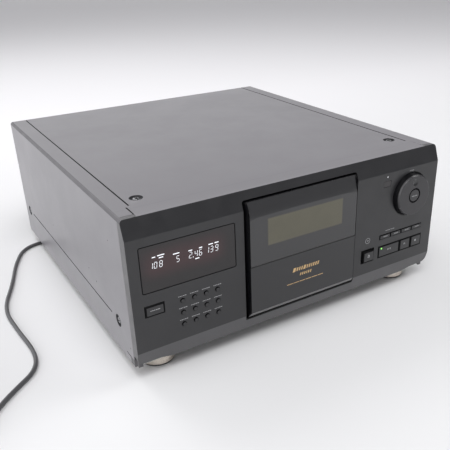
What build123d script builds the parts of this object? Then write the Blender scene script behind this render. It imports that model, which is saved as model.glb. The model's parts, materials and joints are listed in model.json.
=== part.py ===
"""A 200-disc carousel player: a hi-fi component with a motor-driven front door.

Frame: millimetres, +Z up, the front panel faces -Y, +X is to the right seen from the
front.  The origin lies on the surface the feet stand on, under the middle of the body.
"""
from build123d import *
import os
from math import atan2, cos, degrees, pi, radians, sin, sqrt, tan

os.makedirs("parts", exist_ok=True)

# ---- cabinet -------------------------------------------------------------------------
cabinet_width = 430.0
cabinet_depth = 446.0       # steel cover, from the top front edge to its rear edge
cabinet_height = 177.0      # steel cover, from its lower edge to its top
foot_height = 14.0
foot_radius = 21.0
foot_base = 3.0             # height of the slightly smaller rubber base
foot_x = 179.0
foot_front_y = -189.4
foot_rear_y = 148.0         # leaves the lead its way out under the rear left corner
steel = 1.0                 # cover and rear panel sheet
pan_steel = 1.2
shoulder_radius = 4.0       # rounded top edges of the cover
dial_proud = 8.3
jack_length = 8.5           # output sleeves behind the cabinet

# ---- front panel moulding --------------------------------------------------------------
facet_lean = 7.4            # the top facet leans back this far
facet_height = 20.6
lower_facet_height = 19.5
lower_facet_lean = 4.4
panel_wall = 3.0
panel_return = 13.8         # depth of the moulding's side return behind the face
lip_height = 5.0            # lower lip above the cover's lower edge
lip_rise = 3.6              # the lip steps up at both ends
lip_flat = 171.0            # half width of the low part of the lip
lip_step_run = 17.0
panel_corner = 9.0          # lower corners seen from the front
ear_x = 196.7               # the steel top reaches forward between the two ears
gap = 0.3                   # general clearance between neighbours that move

# ---- things in the face, positions from the middle and from the surface -----------------
display_size = (111.5, 53.3)
display_at = (-146.8, 133.9)
power_size = (22.9, 13.7)
power_at = (-190.8, 86.4)
round_hole = 2.95
round_pitch = (14.15, 14.6)
round_at = (-137.4, 72.2)
door_opening = (160.4, 146.1)
door_opening_bottom = 34.9
dial_at = (169.2, 134.6)
dial_hole = 29.3
dial_face_radius = 25.9
enter_hole = 9.2
thin_slot = (74.4, 6.8)
thin_at = (158.8, 84.2)
play_slot = (77.4, 17.0)
play_at = (159.3, 63.3)
play_width = 36.6
open_size = (21.6, 18.8)
open_at = (102.8, 63.9)
open_gap = 2.2              # wide gap round the open key
key_proud = {"power": 1.1, "round": 1.2, "thin": 0.8, "play": 0.7, "open": 2.9}
sensor_size = (12.4, 8.0)
sensor_at = (128.4, 156.2)
lamp_radius = 1.1
lamp_at = (128.4, 165.4)
key_gap = 0.5
row_gap = 1.2               # between two keys in one slot
key_travel = 0.8
switch_height = 2.0
board_thickness = 1.6

# ---- door --------------------------------------------------------------------------------
door_side_gap = 2.6
door_low_gap = 1.6
door_top_gap = 2.1
door_proud = 4.7
door_bevel = 2.1            # side bevels, seen from above
door_low_bevel = 6.2
door_sweep = 16.9           # height of the swept top
door_sweep_back = 6.4
door_split_z = 102.0        # window piece above, plain panel below
door_wall = 3.0
door_rear = 12.0            # depth of the door behind the face plane
door_view = (105.6, 32.4)
door_view_at = (0.7, 140.4)
hinge_behind = 5.0
hinge_above = 12.0          # above the door's lower edge
hinge_pin = 2.5
running = 0.05              # radial clearance of shafts and pins
tunnel_wall = 3.0
tunnel_depth = 38.8
door_module = 1.0
door_teeth = 32             # on the full circle of the door's toothed sector
door_pinion_teeth = 12
door_pinion_angle = 25.0    # direction of the pinion seen from the hinge
door_swing = 70.0

# ---- carousel ----------------------------------------------------------------------------
carousel_y = -6.0
slot_count = 200
slot_width = 1.5
slot_depth = 16.0
ring_outer = 191.2
ring_bore = 72.3
ring_bottom = 25.0
ring_floor = 33.0
ring_plate = 4.0
table_module = 3.0
table_teeth = 130
table_pinion_teeth = 10
table_tooth = 3.6           # tooth width on the pitch circle
table_pinion_angle = -45.0
hub_clear = 0.3
fin_start = 6.0             # flat ledge between the bore and the ribs
rim_wall = 2.6              # thickness of the ring's outer wall

# ---- derived places ------------------------------------------------------------------------
total_depth = facet_lean + dial_proud + cabinet_depth + jack_length
front_y = -total_depth / 2 + dial_proud         # plane of the main face
edge_y = front_y + facet_lean                   # top front edge
rear_y = edge_y + cabinet_depth
seam_y = front_y + panel_return                 # side seam between moulding and cover
base_z = foot_height
top_z = base_z + cabinet_height
half = cabinet_width / 2
inner = half - steel
pan_top = base_z + pan_steel
back_y = rear_y - 3.0                           # inner face of the rear panel
lip_z = base_z + lip_height
board_y = seam_y - 1.0                          # front of the two key boards
door_bottom = door_opening_bottom + door_low_gap
door_top = door_opening_bottom + door_opening[1] - door_top_gap
door_half = door_opening[0] / 2 - door_side_gap
door_face_y = front_y - door_proud
door_back_y = front_y + door_rear
hinge_y = front_y + hinge_behind
hinge_z = door_bottom + hinge_above
tunnel_x = door_opening[0] / 2
tunnel_rear = front_y + tunnel_depth
pieces = []


def finish(part, name):
    """Label a finished piece and write it to its own file."""
    part.label = name
    export_step(part, f"parts/{name}.step")
    pieces.append(part)


def facing(y):
    """Plane through y whose sketches are seen from the front (x right, z up)."""
    return Plane.XZ.offset(-y)


def gear_points(teeth, module, root, tip, width, centre=(0.0, 0.0), turn=0.0):
    """Outline of a straight-flanked gear; turn is the direction of its first tooth."""
    pitch = teeth * module / 2
    half_pitch = width / 2 / pitch
    half_root = half_pitch + (pitch - root) * tan(radians(22)) / root
    half_tip = half_pitch - (tip - pitch) * tan(radians(22)) / tip
    points = []
    for tooth in range(teeth):
        middle = radians(turn) + 2 * pi * tooth / teeth
        for radius, angle in ((root, -half_root), (tip, -half_tip), (tip, half_tip), (root, half_root)):
            points.append((centre[0] + radius * cos(middle + angle), centre[1] + radius * sin(middle + angle)))
    return points


# ---- chassis pan ------------------------------------------------------------------------------
pan_flange = 15.0
lever_y = 207.0
lever_z = 60.0
lever_pin = 2.5
lever_half = 3.0
tab_gap = 0.4
tab_width = 14.0
ear_wide = 6.0              # thickness of the moulding's two lower ears
corner_notch = (9.0, 9.6)   # cut-away lower front corner of the cover
relief_slit = (20.4, 0.7)   # relief cuts at the cover's front corners


def make_chassis_pan():
    """Steel tray with four upturned flanges, vents and two ears for the loading lever."""
    length = rear_y - 1.8 - seam_y
    middle = seam_y + length / 2
    with BuildPart() as pan:
        with BuildSketch(Plane.XY.offset(base_z)):
            with Locations((0, middle)):
                Rectangle(2 * inner, length)
        extrude(amount=pan_flange)
        with BuildSketch(Plane.XY.offset(pan_top)):
            with Locations((0, middle)):
                Rectangle(2 * (inner - pan_steel), length - 2 * pan_steel)
        extrude(amount=pan_flange, mode=Mode.SUBTRACT)
        with BuildSketch(Plane.XY.offset(base_z)):
            with Locations((0, back_y)):
                Rectangle(2 * inner, 8)
        extrude(amount=pan_flange, mode=Mode.SUBTRACT)
        with BuildSketch(Plane.XY.offset(base_z)):
            with Locations((0, back_y - 2)):
                Rectangle(2 * inner, 12)
        extrude(amount=pan_steel)
        with BuildSketch(Plane.XY.offset(base_z)):
            with GridLocations(2 * 150, 18, 2, 5):
                Rectangle(40, 5)
        extrude(amount=pan_steel, mode=Mode.SUBTRACT)
        # front corners cut back round the moulding's ears
        with BuildSketch(Plane.XY.offset(base_z)):
            for side in (-1, 1):
                with Locations((side * (inner + 1), seam_y - 1)):
                    Rectangle(2 * (ear_wide + 2 + gap), corner_notch[0] + 1 + gap,
                              align=(Align.CENTER, Align.MIN))
        extrude(amount=pan_flange, mode=Mode.SUBTRACT)
        for side in (-1, 1):
            inside = side * (lever_half + tab_gap)
            with BuildSketch(Plane.YZ.offset(inside)):
                with Locations((lever_y, (pan_top + lever_z) / 2)):
                    Rectangle(tab_width, lever_z - pan_top)
                with Locations((lever_y, lever_z)):
                    Circle(tab_width / 2)
                    Circle(lever_pin + running, mode=Mode.SUBTRACT)
            extrude(amount=side * 1.6)
    finish(pan.part, "chassis_pan")


# ---- rear panel ---------------------------------------------------------------------------------
cord_exit = (-150.0, 64.0)
relief_neck = 5.0
jack_x = 150.0
jack_z = (54.0, 68.0)
jack_radius = 4.15
jack_hole = 5.0
optical_at = (174.0, 61.0)
optical_size = (9.6, 9.6)
rear_screw_at = [(-190, 176), (-65, 176), (65, 176), (190, 176)]
screw_shank = 1.6
screw_head = (3.8, 1.4)


def make_rear_panel():
    """Steel sheet that closes the back, with vents and the holes for jacks and lead."""
    with BuildPart() as panel:
        with BuildSketch(facing(back_y + steel + 0.2)) as outline:
            with Locations((0, pan_top)):
                Rectangle(2 * inner, top_z - steel - pan_top, align=(Align.CENTER, Align.MIN))
            fillet(outline.vertices().group_by(Axis.Y)[-1], shoulder_radius - steel)
            with Locations(cord_exit):
                Circle(relief_neck + 0.1, mode=Mode.SUBTRACT)
            with Locations(*[(jack_x, z) for z in jack_z]):
                Circle(jack_hole, mode=Mode.SUBTRACT)
            with Locations(optical_at):
                Rectangle(optical_size[0] + 0.4, optical_size[1] + 0.4, mode=Mode.SUBTRACT)
            with Locations(*rear_screw_at):
                Circle(screw_shank + 0.1, mode=Mode.SUBTRACT)
            with Locations((0, 120)):
                with GridLocations(12, 0, 9, 1):
                    Rectangle(4, 46, mode=Mode.SUBTRACT)
        extrude(amount=steel + 0.2)
    finish(panel.part, "rear_panel")


# ---- steel cover ----------------------------------------------------------------------------------
groove_x = 192.5
groove = (1.2, 0.5)
groove_front = -188.6
side_groove_z = 56.0
side_screw_y = (201.6, -177.0)
side_screw_z = 55.4
top_screw = (178.0, -172.9)
dish = (7.5, 4.3, 1.5)      # outer radius, floor radius, depth
dish_back = 1.4             # the pressed dish stands this far inside the sheet


def make_cabinet_cover():
    """Folded U-shaped cover with long grooves and dished screw seats."""
    with BuildPart() as cover:
        with BuildSketch(facing(rear_y)) as shape:
            with Locations((0, base_z)):
                Rectangle(cabinet_width, cabinet_height, align=(Align.CENTER, Align.MIN))
            fillet(shape.vertices().group_by(Axis.Y)[-1], shoulder_radius)
            with Locations((0, top_z - steel)):
                RectangleRounded(2 * inner, 2 * cabinet_height, shoulder_radius - steel,
                                 align=(Align.CENTER, Align.MAX), mode=Mode.SUBTRACT)
        extrude(amount=cabinet_depth)
        for side in (-1, 1):
            with BuildSketch(Plane.XY.offset(base_z)):
                with Locations((side * (ear_x + half) / 2, (edge_y + seam_y) / 2)):
                    Rectangle(half - ear_x, seam_y - edge_y)
            extrude(amount=cabinet_height, mode=Mode.SUBTRACT)
            with BuildSketch(Plane.YZ.offset(side * half)):
                with Locations((seam_y, base_z)):
                    Rectangle(corner_notch[0], corner_notch[1], align=(Align.MIN, Align.MIN))
                with Locations((seam_y, base_z + corner_notch[1])):
                    Rectangle(relief_slit[0], relief_slit[1], align=(Align.MIN, Align.MAX))
            extrude(amount=-side * steel, mode=Mode.SUBTRACT)
            with BuildSketch(Plane.XY.offset(top_z)):
                with Locations((side * ear_x, seam_y)):
                    Rectangle(relief_slit[1], relief_slit[0], align=(Align.CENTER, Align.MIN))
            extrude(amount=-steel, mode=Mode.SUBTRACT)
            with BuildSketch(Plane.YZ.offset(side * half)):
                with Locations(((side_screw_y[0] + side_screw_y[1]) / 2, side_groove_z)):
                    Rectangle(side_screw_y[0] - side_screw_y[1] - 40, groove[0])
            extrude(amount=-side * groove[1], mode=Mode.SUBTRACT)
            with BuildSketch(Plane.XY.offset(top_z)):
                with Locations((side * groove_x, groove_front)):
                    Rectangle(groove[0], rear_y - groove_front, align=(Align.CENTER, Align.MIN))
            extrude(amount=-groove[1], mode=Mode.SUBTRACT)
            seats = [Plane((side * top_screw[0], top_screw[1], top_z), z_dir=(0, 0, 1))]
            for y in side_screw_y:
                seats.append(Plane((side * half, y, side_screw_z), x_dir=(0, 1, 0), z_dir=(side, 0, 0)))
            for seat in seats:
                with BuildSketch(seat.offset(-steel - dish_back)):
                    Circle(dish[0] + 0.4)
                extrude(amount=dish_back)
                with Locations(seat):
                    Cone(dish[1], dish[0], dish[2], align=(Align.CENTER, Align.CENTER, Align.MAX), mode=Mode.SUBTRACT)
                with BuildSketch(seat):
                    Circle(screw_shank + 0.1)
                extrude(amount=-steel - dish_back, mode=Mode.SUBTRACT)
    finish(cover.part, "cabinet_cover")


def make_cover_screws():
    """Ten equal pan-head screws: six in the dishes and four in the rear panel."""
    seats = []
    for side in (-1, 1):
        seats.append(Plane((side * top_screw[0], top_screw[1], top_z - dish[2]), z_dir=(0, 0, 1)))
        for y in side_screw_y:
            seats.append(Plane((side * (half - dish[2]), y, side_screw_z), x_dir=(0, 1, 0), z_dir=(side, 0, 0)))
    for x, z in rear_screw_at:
        seats.append(Plane((x, back_y + steel + 0.2, z), x_dir=(1, 0, 0), z_dir=(0, 1, 0)))
    with BuildPart() as screws:
        for seat in seats:
            with BuildSketch(seat):
                Circle(screw_head[0])
            extrude(amount=screw_head[1])
            with BuildSketch(seat):
                RegularPolygon(screw_shank, 6)
            extrude(amount=-6)
    finish(screws.part, "cover_screws")


# ---- front panel ----------------------------------------------------------------------------------
board_left = (-206.0, -90.0, 48.0, 172.0)
board_right = (89.0, 207.0, 42.0, 172.0)
board_boss = 3.0
boss_inset = 4.0


def boss_places(board):
    """Corners of a key board where the moulding's bosses carry it."""
    x0, x1, z0, z1 = board
    return [(x, z) for x in (x0 + boss_inset, x1 - boss_inset) for z in (z0 + boss_inset, z1 - boss_inset)]


def round_places():
    """Twelve round keys, row by row from the top left."""
    places = []
    for row in (1, 0, -1):
        for column in (-1.5, -0.5, 0.5, 1.5):
            places.append((round_at[0] + column * round_pitch[0], round_at[1] + row * round_pitch[1]))
    return places


def make_front_panel():
    """Moulded front: faceted face, stepped lower lip, key openings and the door's surround."""
    lower_z = lip_z + lower_facet_height
    upper_z = top_z - facet_height
    lip_y = front_y + lower_facet_lean
    with BuildPart() as panel:
        with BuildSketch(Plane.YZ):
            with BuildLine():
                Polyline((edge_y, top_z), (seam_y, top_z), (seam_y, lip_z), (lip_y, lip_z),
                         (front_y, lower_z), (front_y, upper_z), close=True)
            make_face()
        extrude(amount=half, both=True)
        with BuildSketch(facing(seam_y)) as outline:
            with BuildLine():
                Polyline((-lip_flat, lip_z), (lip_flat, lip_z), (lip_flat + lip_step_run, lip_z + lip_rise),
                         (half, lip_z + lip_rise), (half, top_z), (-half, top_z),
                         (-half, lip_z + lip_rise), (-lip_flat - lip_step_run, lip_z + lip_rise), close=True)
            make_face()
            sides = outline.vertices().filter_by(lambda v: abs(abs(v.X) - half) < 0.01)
            fillet(sides.filter_by(lambda v: v.Y > top_z - 1 or v.Z > top_z - 1), shoulder_radius)
            low = outline.vertices().filter_by(lambda v: abs(abs(v.X) - half) < 0.01)
            fillet(low.sort_by(Axis.Y)[:2], panel_corner)
        extrude(amount=60, mode=Mode.INTERSECT)
        with BuildSketch(Plane.YZ):
            with BuildLine():
                Polyline((seam_y, top_z - 4.2), (edge_y + 2.6, top_z - 4.2), (front_y + panel_wall, upper_z - 0.6),
                         (front_y + panel_wall, lower_z + 0.4), (lip_y + 2.9, lip_z + lip_rise + 3),
                         (seam_y, lip_z + lip_rise + 3), close=True)
            make_face()
        extrude(amount=half - panel_wall, both=True, mode=Mode.SUBTRACT)
        # the steel top lies on the moulding between the two ears
        with BuildSketch(Plane.XY.offset(top_z - steel)):
            with Locations((0, (edge_y + seam_y) / 2)):
                Rectangle(2 * ear_x, seam_y - edge_y + 0.001)
        extrude(amount=steel, mode=Mode.SUBTRACT)
        # surround of the door: a deep rectangular tunnel
        top = door_opening_bottom + door_opening[1]
        with BuildSketch(facing(front_y + panel_wall)):
            for side in (-1, 1):
                with Locations((side * (tunnel_x + tunnel_wall / 2), door_opening_bottom - tunnel_wall)):
                    Rectangle(tunnel_wall, door_opening[1] + 2 * tunnel_wall, align=(Align.CENTER, Align.MIN))
        extrude(amount=-(tunnel_depth - panel_wall))
        with BuildSketch(facing(front_y + panel_wall)):
            with Locations((0, door_opening_bottom - tunnel_wall), (0, top)):
                Rectangle(door_opening[0], tunnel_wall, align=(Align.CENTER, Align.MIN))
        extrude(amount=-(door_rear - 4))
        # hinge bosses outside the tunnel walls
        for side in (-1, 1):
            with BuildSketch(Plane.YZ.offset(side * (tunnel_x + tunnel_wall))):
                with Locations((hinge_y, hinge_z)):
                    Circle(hinge_pin + 2.2)
            extrude(amount=side * 2.6)
        # board bosses, and the two ears that fill the notches in the cover's front corners
        with BuildSketch(facing(front_y + panel_wall)):
            with Locations(*boss_places(board_left), *boss_places(board_right)):
                RegularPolygon(board_boss, 6)
        extrude(amount=-(board_y - front_y - panel_wall))
        ear_length = corner_notch[0] - gap
        for side in (-1, 1):
            with BuildSketch(Plane.YZ.offset(side * (inner - 1.5))):
                with Locations((seam_y - 6, base_z + 2)):
                    Rectangle(6 + ear_length, 24, align=(Align.MIN, Align.MIN))
            extrude(amount=-side * (ear_wide - 1))
            with BuildSketch(Plane.YZ.offset(side * (half - gap))):
                with Locations((seam_y, base_z + 0.2)):
                    Rectangle(ear_length, corner_notch[1] - 0.2 - gap, align=(Align.MIN, Align.MIN))
            extrude(amount=-side * ear_wide)
        # openings in the face
        with BuildSketch(facing(front_y - 1)):
            with Locations(display_at):
                RectangleRounded(*display_size, 2.4)
            with Locations(power_at):
                Rectangle(*power_size)
            with Locations(*round_places()):
                Circle(round_hole)
            with Locations(dial_at):
                Circle(dial_hole)
            with Locations(thin_at):
                Rectangle(*thin_slot)
            with Locations(play_at):
                Rectangle(*play_slot)
            with Locations(open_at):
                Rectangle(*open_size)
            with Locations(sensor_at):
                Rectangle(*sensor_size)
            with Locations(lamp_at):
                Circle(lamp_radius + 0.05)
        extrude(amount=-(panel_wall + 1.5), mode=Mode.SUBTRACT)
        with BuildSketch(facing(front_y - 2)) as door_hole:
            with Locations((0, door_opening_bottom)):
                Rectangle(*door_opening, align=(Align.CENTER, Align.MIN))
            fillet(door_hole.vertices().group_by(Axis.Y)[-1], 3)
        extrude(amount=-(tunnel_depth + 2), mode=Mode.SUBTRACT)
        # holes for the hinge pins and the door motor's shaft
        with BuildSketch(Plane.YZ.offset(-half / 2)):
            with Locations((hinge_y, hinge_z)):
                Circle(hinge_pin + running)
        extrude(amount=half, mode=Mode.SUBTRACT)
        with BuildSketch(Plane.YZ.offset(tunnel_x - 1)):
            with Locations(door_pinion_centre()):
                Circle(2.0)
        extrude(amount=tunnel_wall + 2, mode=Mode.SUBTRACT)
    finish(panel.part, "front_panel")


# ---- windows, lamp and boards in the front ----------------------------------------------------------
def pane(name, size, at, corner, flange, thickness=2.0):
    """A flush pane with a flange that seats behind the face wall."""
    with BuildPart() as window:
        with BuildSketch(facing(front_y + 0.1)):
            with Locations(at):
                if corner:
                    RectangleRounded(size[0] - gap, size[1] - gap, corner)
                else:
                    Rectangle(size[0] - gap, size[1] - gap)
        extrude(amount=-(panel_wall - 0.1))
        with BuildSketch(facing(front_y + panel_wall)):
            with Locations(at):
                Rectangle(size[0] + 2 * flange, size[1] + 2 * flange)
        extrude(amount=-(thickness - 0.6))
    finish(window.part, name)


def make_status_lamp():
    """A small light pipe from the right board to the face."""
    with BuildPart() as lamp:
        with BuildSketch(facing(front_y)):
            with Locations(lamp_at):
                Circle(lamp_radius)
        extrude(amount=-(board_y - front_y))
    finish(lamp.part, "status_lamp")


def make_display_module():
    """Fluorescent display: a glass envelope on the left board, behind the window."""
    front = front_y + panel_wall + 2.0
    with BuildPart() as module:
        with BuildSketch(facing(front)):
            with Locations(display_at):
                Rectangle(display_size[0] - 9, display_size[1] - 14)
        extrude(amount=-(board_y - front))
        chamfer(module.edges().filter_by(Axis.Z), 1.2)
    finish(module.part, "display_module")


def switch_places_left():
    return [power_at, *round_places()]


def thin_places():
    """Centres of the four thin keys in their common slot."""
    pitch = thin_slot[0] / 4
    return [(thin_at[0] + (i - 1.5) * pitch, thin_at[1]) for i in range(4)]


def transport_places():
    """Play, pause and stop: centre x and width of each key in the common slot."""
    left = play_at[0] - play_slot[0] / 2
    small = (play_slot[0] - play_width - 2 * row_gap - 2 * key_gap) / 2
    x_play = left + key_gap + play_width / 2
    x_pause = left + key_gap + play_width + row_gap + small / 2
    return {"play_key": (x_play, play_width), "pause_key": (x_pause, small),
            "stop_key": (x_pause + small + row_gap, small)}


def make_board(name, board, switches, encoder=None):
    """Printed board with its tact switches and, on the right, the dial's encoder bush."""
    x0, x1, z0, z1 = board
    with BuildPart() as card:
        with BuildSketch(facing(board_y)):
            with Locations(((x0 + x1) / 2, (z0 + z1) / 2)):
                RectangleRounded(x1 - x0, z1 - z0, 2)
        extrude(amount=-board_thickness)
        with BuildSketch(facing(board_y)):
            with Locations(*switches):
                Rectangle(4.4, 4.4)
        extrude(amount=switch_height)
        if encoder:
            with BuildSketch(facing(board_y)):
                with Locations(encoder):
                    Circle(encoder_radius)
            extrude(amount=encoder_height)
            with BuildSketch(facing(board_y - encoder_height)):
                with Locations(encoder):
                    Circle(dial_shaft + running)
            extrude(amount=-(encoder_height - 0.6), mode=Mode.SUBTRACT)
    finish(card.part, name)


# ---- keys ----------------------------------------------------------------------------------------------
flange_thick = 1.2


def make_key(name, at, cap, flange, proud, round_cap=False):
    """Key cap with a rear flange behind the face wall and a stem to its switch."""
    face = front_y - proud
    wall_back = front_y + panel_wall + gap
    stem_end = board_y - switch_height - key_travel - 0.2
    with BuildPart() as key:
        with BuildSketch(facing(face)):
            with Locations(at):
                if round_cap:
                    Circle(cap[0] / 2)
                else:
                    Rectangle(*cap)
        extrude(amount=-(wall_back + flange_thick - face))
        with BuildSketch(facing(wall_back)):
            with Locations(at):
                Rectangle(cap[0] + 2 * flange[0], cap[1] + 2 * flange[1])
        extrude(amount=-flange_thick)
        with BuildSketch(facing(wall_back)):
            with Locations(at):
                Rectangle(2.4, 2.4)
        extrude(amount=-(stem_end - wall_back))
    finish(key.part, name)


def make_keys():
    """Power key, twelve round keys, four thin keys and the transport keys."""
    shy = 2 * key_gap
    make_key("power_key", power_at, (power_size[0] - shy, power_size[1] - shy), (1.2, 1.2), key_proud["power"])
    for number, place in enumerate(round_places(), 1):
        cap = 2 * round_hole - shy
        make_key(f"round_key_{number:02d}", place, (cap, cap), (0.9, 0.9), key_proud["round"], True)
    for number, place in enumerate(thin_places(), 1):
        width = thin_slot[0] / 4 - key_gap * 2
        make_key(f"thin_key_{number}", place, (width, thin_slot[1] - shy), (0, 1.2), key_proud["thin"])
    for name, (x, width) in transport_places().items():
        make_key(name, (x, play_at[1]), (width, play_slot[1] - shy), (0, 1.2), key_proud["play"])
    flange = open_gap + 1.2
    make_key("open_key", open_at, (open_size[0] - 2 * open_gap, open_size[1] - 2 * open_gap), (flange, flange),
             key_proud["open"])


# ---- dial and enter key ------------------------------------------------------------------------------------
dial_shaft = 4.0
encoder_radius = 8.0
encoder_height = 5.0
dimple = (4.8, 17.6, 1.3)   # radius at the face, distance from the middle, depth


def make_jog_dial():
    """Turned dial with a tapered skirt, a finger dimple and a hollow hub for the enter key."""
    outer = dial_hole - 0.5
    face_y = front_y - dial_proud
    hub_end = board_y - encoder_height - 0.6
    with BuildPart() as dial:
        with BuildSketch(Plane.XY):
            with BuildLine():
                Polyline((enter_hole, face_y), (dial_face_radius, face_y),
                         (outer, front_y - 0.6), (outer, front_y + 1.2), (outer - 2.4, front_y + 1.2),
                         (outer - 3.2, face_y + 3.4), (enter_hole + 2.2, face_y + 3.4), (enter_hole + 2.2, hub_end),
                         (dial_shaft, hub_end), (dial_shaft, board_y - 1.2), (0, board_y - 1.2),
                         (0, hub_end - 3.0), (enter_hole, hub_end - 3.0), close=True)
            make_face()
        revolve(axis=Axis.Y)
        ball = (dimple[0] ** 2 + dimple[2] ** 2) / (2 * dimple[2])
        with Locations((0, face_y - ball + dimple[2], dimple[1])):
            Sphere(ball, mode=Mode.SUBTRACT)
    finish(dial.part.moved(Location((dial_at[0], 0, dial_at[1]))), "jog_dial")


def make_enter_key():
    """Round enter key that slides in the dial's hub."""
    face_y = front_y - dial_proud
    hub_floor = board_y - encoder_height - 0.6 - 3.0
    with BuildPart() as key:
        with BuildSketch(facing(face_y + 0.2)):
            with Locations(dial_at):
                Circle(enter_hole - 0.5)
        extrude(amount=-(hub_floor - key_travel - 0.4 - face_y))
    finish(key.part, "enter_key")


# ---- door --------------------------------------------------------------------------------------------------
def door_pinion_centre():
    """Pinion axis in (y, z); a little further out than the pitch circles ask, for backlash."""
    reach = (door_teeth + door_pinion_teeth) * door_module / 2 + 0.15
    angle = radians(door_pinion_angle)
    return (hinge_y + reach * cos(angle), hinge_z + reach * sin(angle))


def door_front_line(inset, low):
    """Front outline of the door in (y, z), moved back by inset, from height low to the top."""
    bend = door_top - door_sweep
    face = door_face_y + inset
    top_y = door_face_y + door_sweep_back + inset
    return (face, low), (face, bend), (face + 0.9, bend + door_sweep * 0.42), (top_y, door_top)


def make_door_panel():
    """Moulded door: lower face, bevelled rim, window carrier, hinge pins and toothed sector."""
    inner_half = door_half - door_wall
    low_face = door_bottom + door_low_bevel
    with BuildPart() as door:
        with BuildSketch(Plane.YZ):
            with BuildLine():
                start, bend, through, end = door_front_line(0, low_face)
                Polyline((door_back_y, door_bottom), (front_y, door_bottom), start, bend)
                ThreePointArc(bend, through, end)
                Polyline(end, (door_back_y, door_top), (door_back_y, door_bottom))
            make_face()
        extrude(amount=door_half, both=True)
        with BuildSketch(Plane.XY.offset(door_bottom)):
            with BuildLine():
                Polyline((-door_half, door_back_y), (-door_half, front_y), (-door_half + door_bevel, door_face_y),
                         (door_half - door_bevel, door_face_y), (door_half, front_y), (door_half, door_back_y),
                         close=True)
            make_face()
        extrude(amount=door_top - door_bottom, mode=Mode.INTERSECT)
        # hollow back; the carrier behind the window is two walls deep
        with BuildSketch(Plane.YZ):
            with BuildLine():
                start, bend, through, end = door_front_line(door_wall + 2.0, door_split_z - 2)
                plain = door_face_y + door_wall
                top = door_top - door_wall
                Polyline((door_back_y, door_bottom + 3.4), (front_y + 2.2, door_bottom + 3.4), (plain, low_face + 1.5),
                         (plain, door_split_z - 2), start, bend)
                Polyline(bend, (end[0], top), (door_back_y, top), (door_back_y, door_bottom + 3.4))
            make_face()
        extrude(amount=inner_half, both=True, mode=Mode.SUBTRACT)
        # seat of the window piece
        with BuildSketch(Plane.YZ):
            with BuildLine():
                start, bend, through, end = door_front_line(door_wall, door_split_z)
                Polyline((door_face_y - 1, door_split_z), start, bend)
                ThreePointArc(bend, through, end)
                Polyline(end, (end[0], door_top + 1), (door_face_y - 1, door_top + 1), (door_face_y - 1, door_split_z))
            make_face()
        extrude(amount=door_half - door_bevel, both=True, mode=Mode.SUBTRACT)
        with BuildSketch(facing(door_face_y)):
            with Locations(door_view_at):
                RectangleRounded(*door_view, 2)
        extrude(amount=-(door_wall + 4), mode=Mode.SUBTRACT)
        # hinge pins
        with BuildSketch(Plane.YZ.offset(-tunnel_x - tunnel_wall - 2)):
            with Locations((hinge_y, hinge_z)):
                Circle(hinge_pin)
        extrude(amount=tunnel_x + tunnel_wall + 2 - door_half + 0.5)
        with BuildSketch(Plane.YZ.offset(door_half - 0.5)):
            with Locations((hinge_y, hinge_z)):
                Circle(hinge_pin)
        extrude(amount=tunnel_x + tunnel_wall + 2 - door_half + 0.5)
        # toothed sector on the inside of the right cheek
        pitch = door_teeth * door_module / 2
        first = door_pinion_angle + 360 / door_teeth / 2
        with BuildSketch(Plane.YZ.offset(inner_half - 3.6)):
            with BuildLine():
                Polyline(*gear_points(door_teeth, door_module, pitch - 1.2, pitch + 0.85, 1.25,
                                      (hinge_y, hinge_z), first), close=True)
            make_face()
            with BuildLine(mode=Mode.PRIVATE) as wedge:
                low_angle = radians(door_pinion_angle - door_swing - 9)
                high_angle = radians(door_pinion_angle + 12)
                reach = 2 * pitch
                Polyline((hinge_y - 7, hinge_z - 5), (hinge_y + 1, hinge_z - 6),
                         (hinge_y + reach * cos(low_angle), hinge_z + reach * sin(low_angle)),
                         (hinge_y + reach, hinge_z - 6), (hinge_y + reach, hinge_z + 6),
                         (hinge_y + reach * cos(high_angle), hinge_z + reach * sin(high_angle)),
                         (hinge_y - 7, hinge_z + 12), close=True)
            make_face(wedge.edges(), mode=Mode.INTERSECT)
        extrude(amount=3.8)
    finish(door.part, "door_panel")


def make_door_window():
    """Smoked window piece: flat over the view, swept back along its top."""
    low = door_split_z + 0.2
    with BuildPart() as window:
        with BuildSketch(Plane.YZ):
            with BuildLine():
                start, bend, through, end = door_front_line(0, low)
                Polyline(start, bend)
                ThreePointArc(bend, through, end)
                start_in, bend_in, through_in, end_in = door_front_line(door_wall - 0.1, low)
                Polyline(end, end_in)
                ThreePointArc(end_in, through_in, bend_in)
                Polyline(bend_in, start_in, start)
            make_face()
        extrude(amount=door_half - door_bevel - 0.15, both=True)
    finish(window.part, "door_window")


door_shaft = 1.0
door_motor_radius = 9.0
door_motor_length = 22.0


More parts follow.
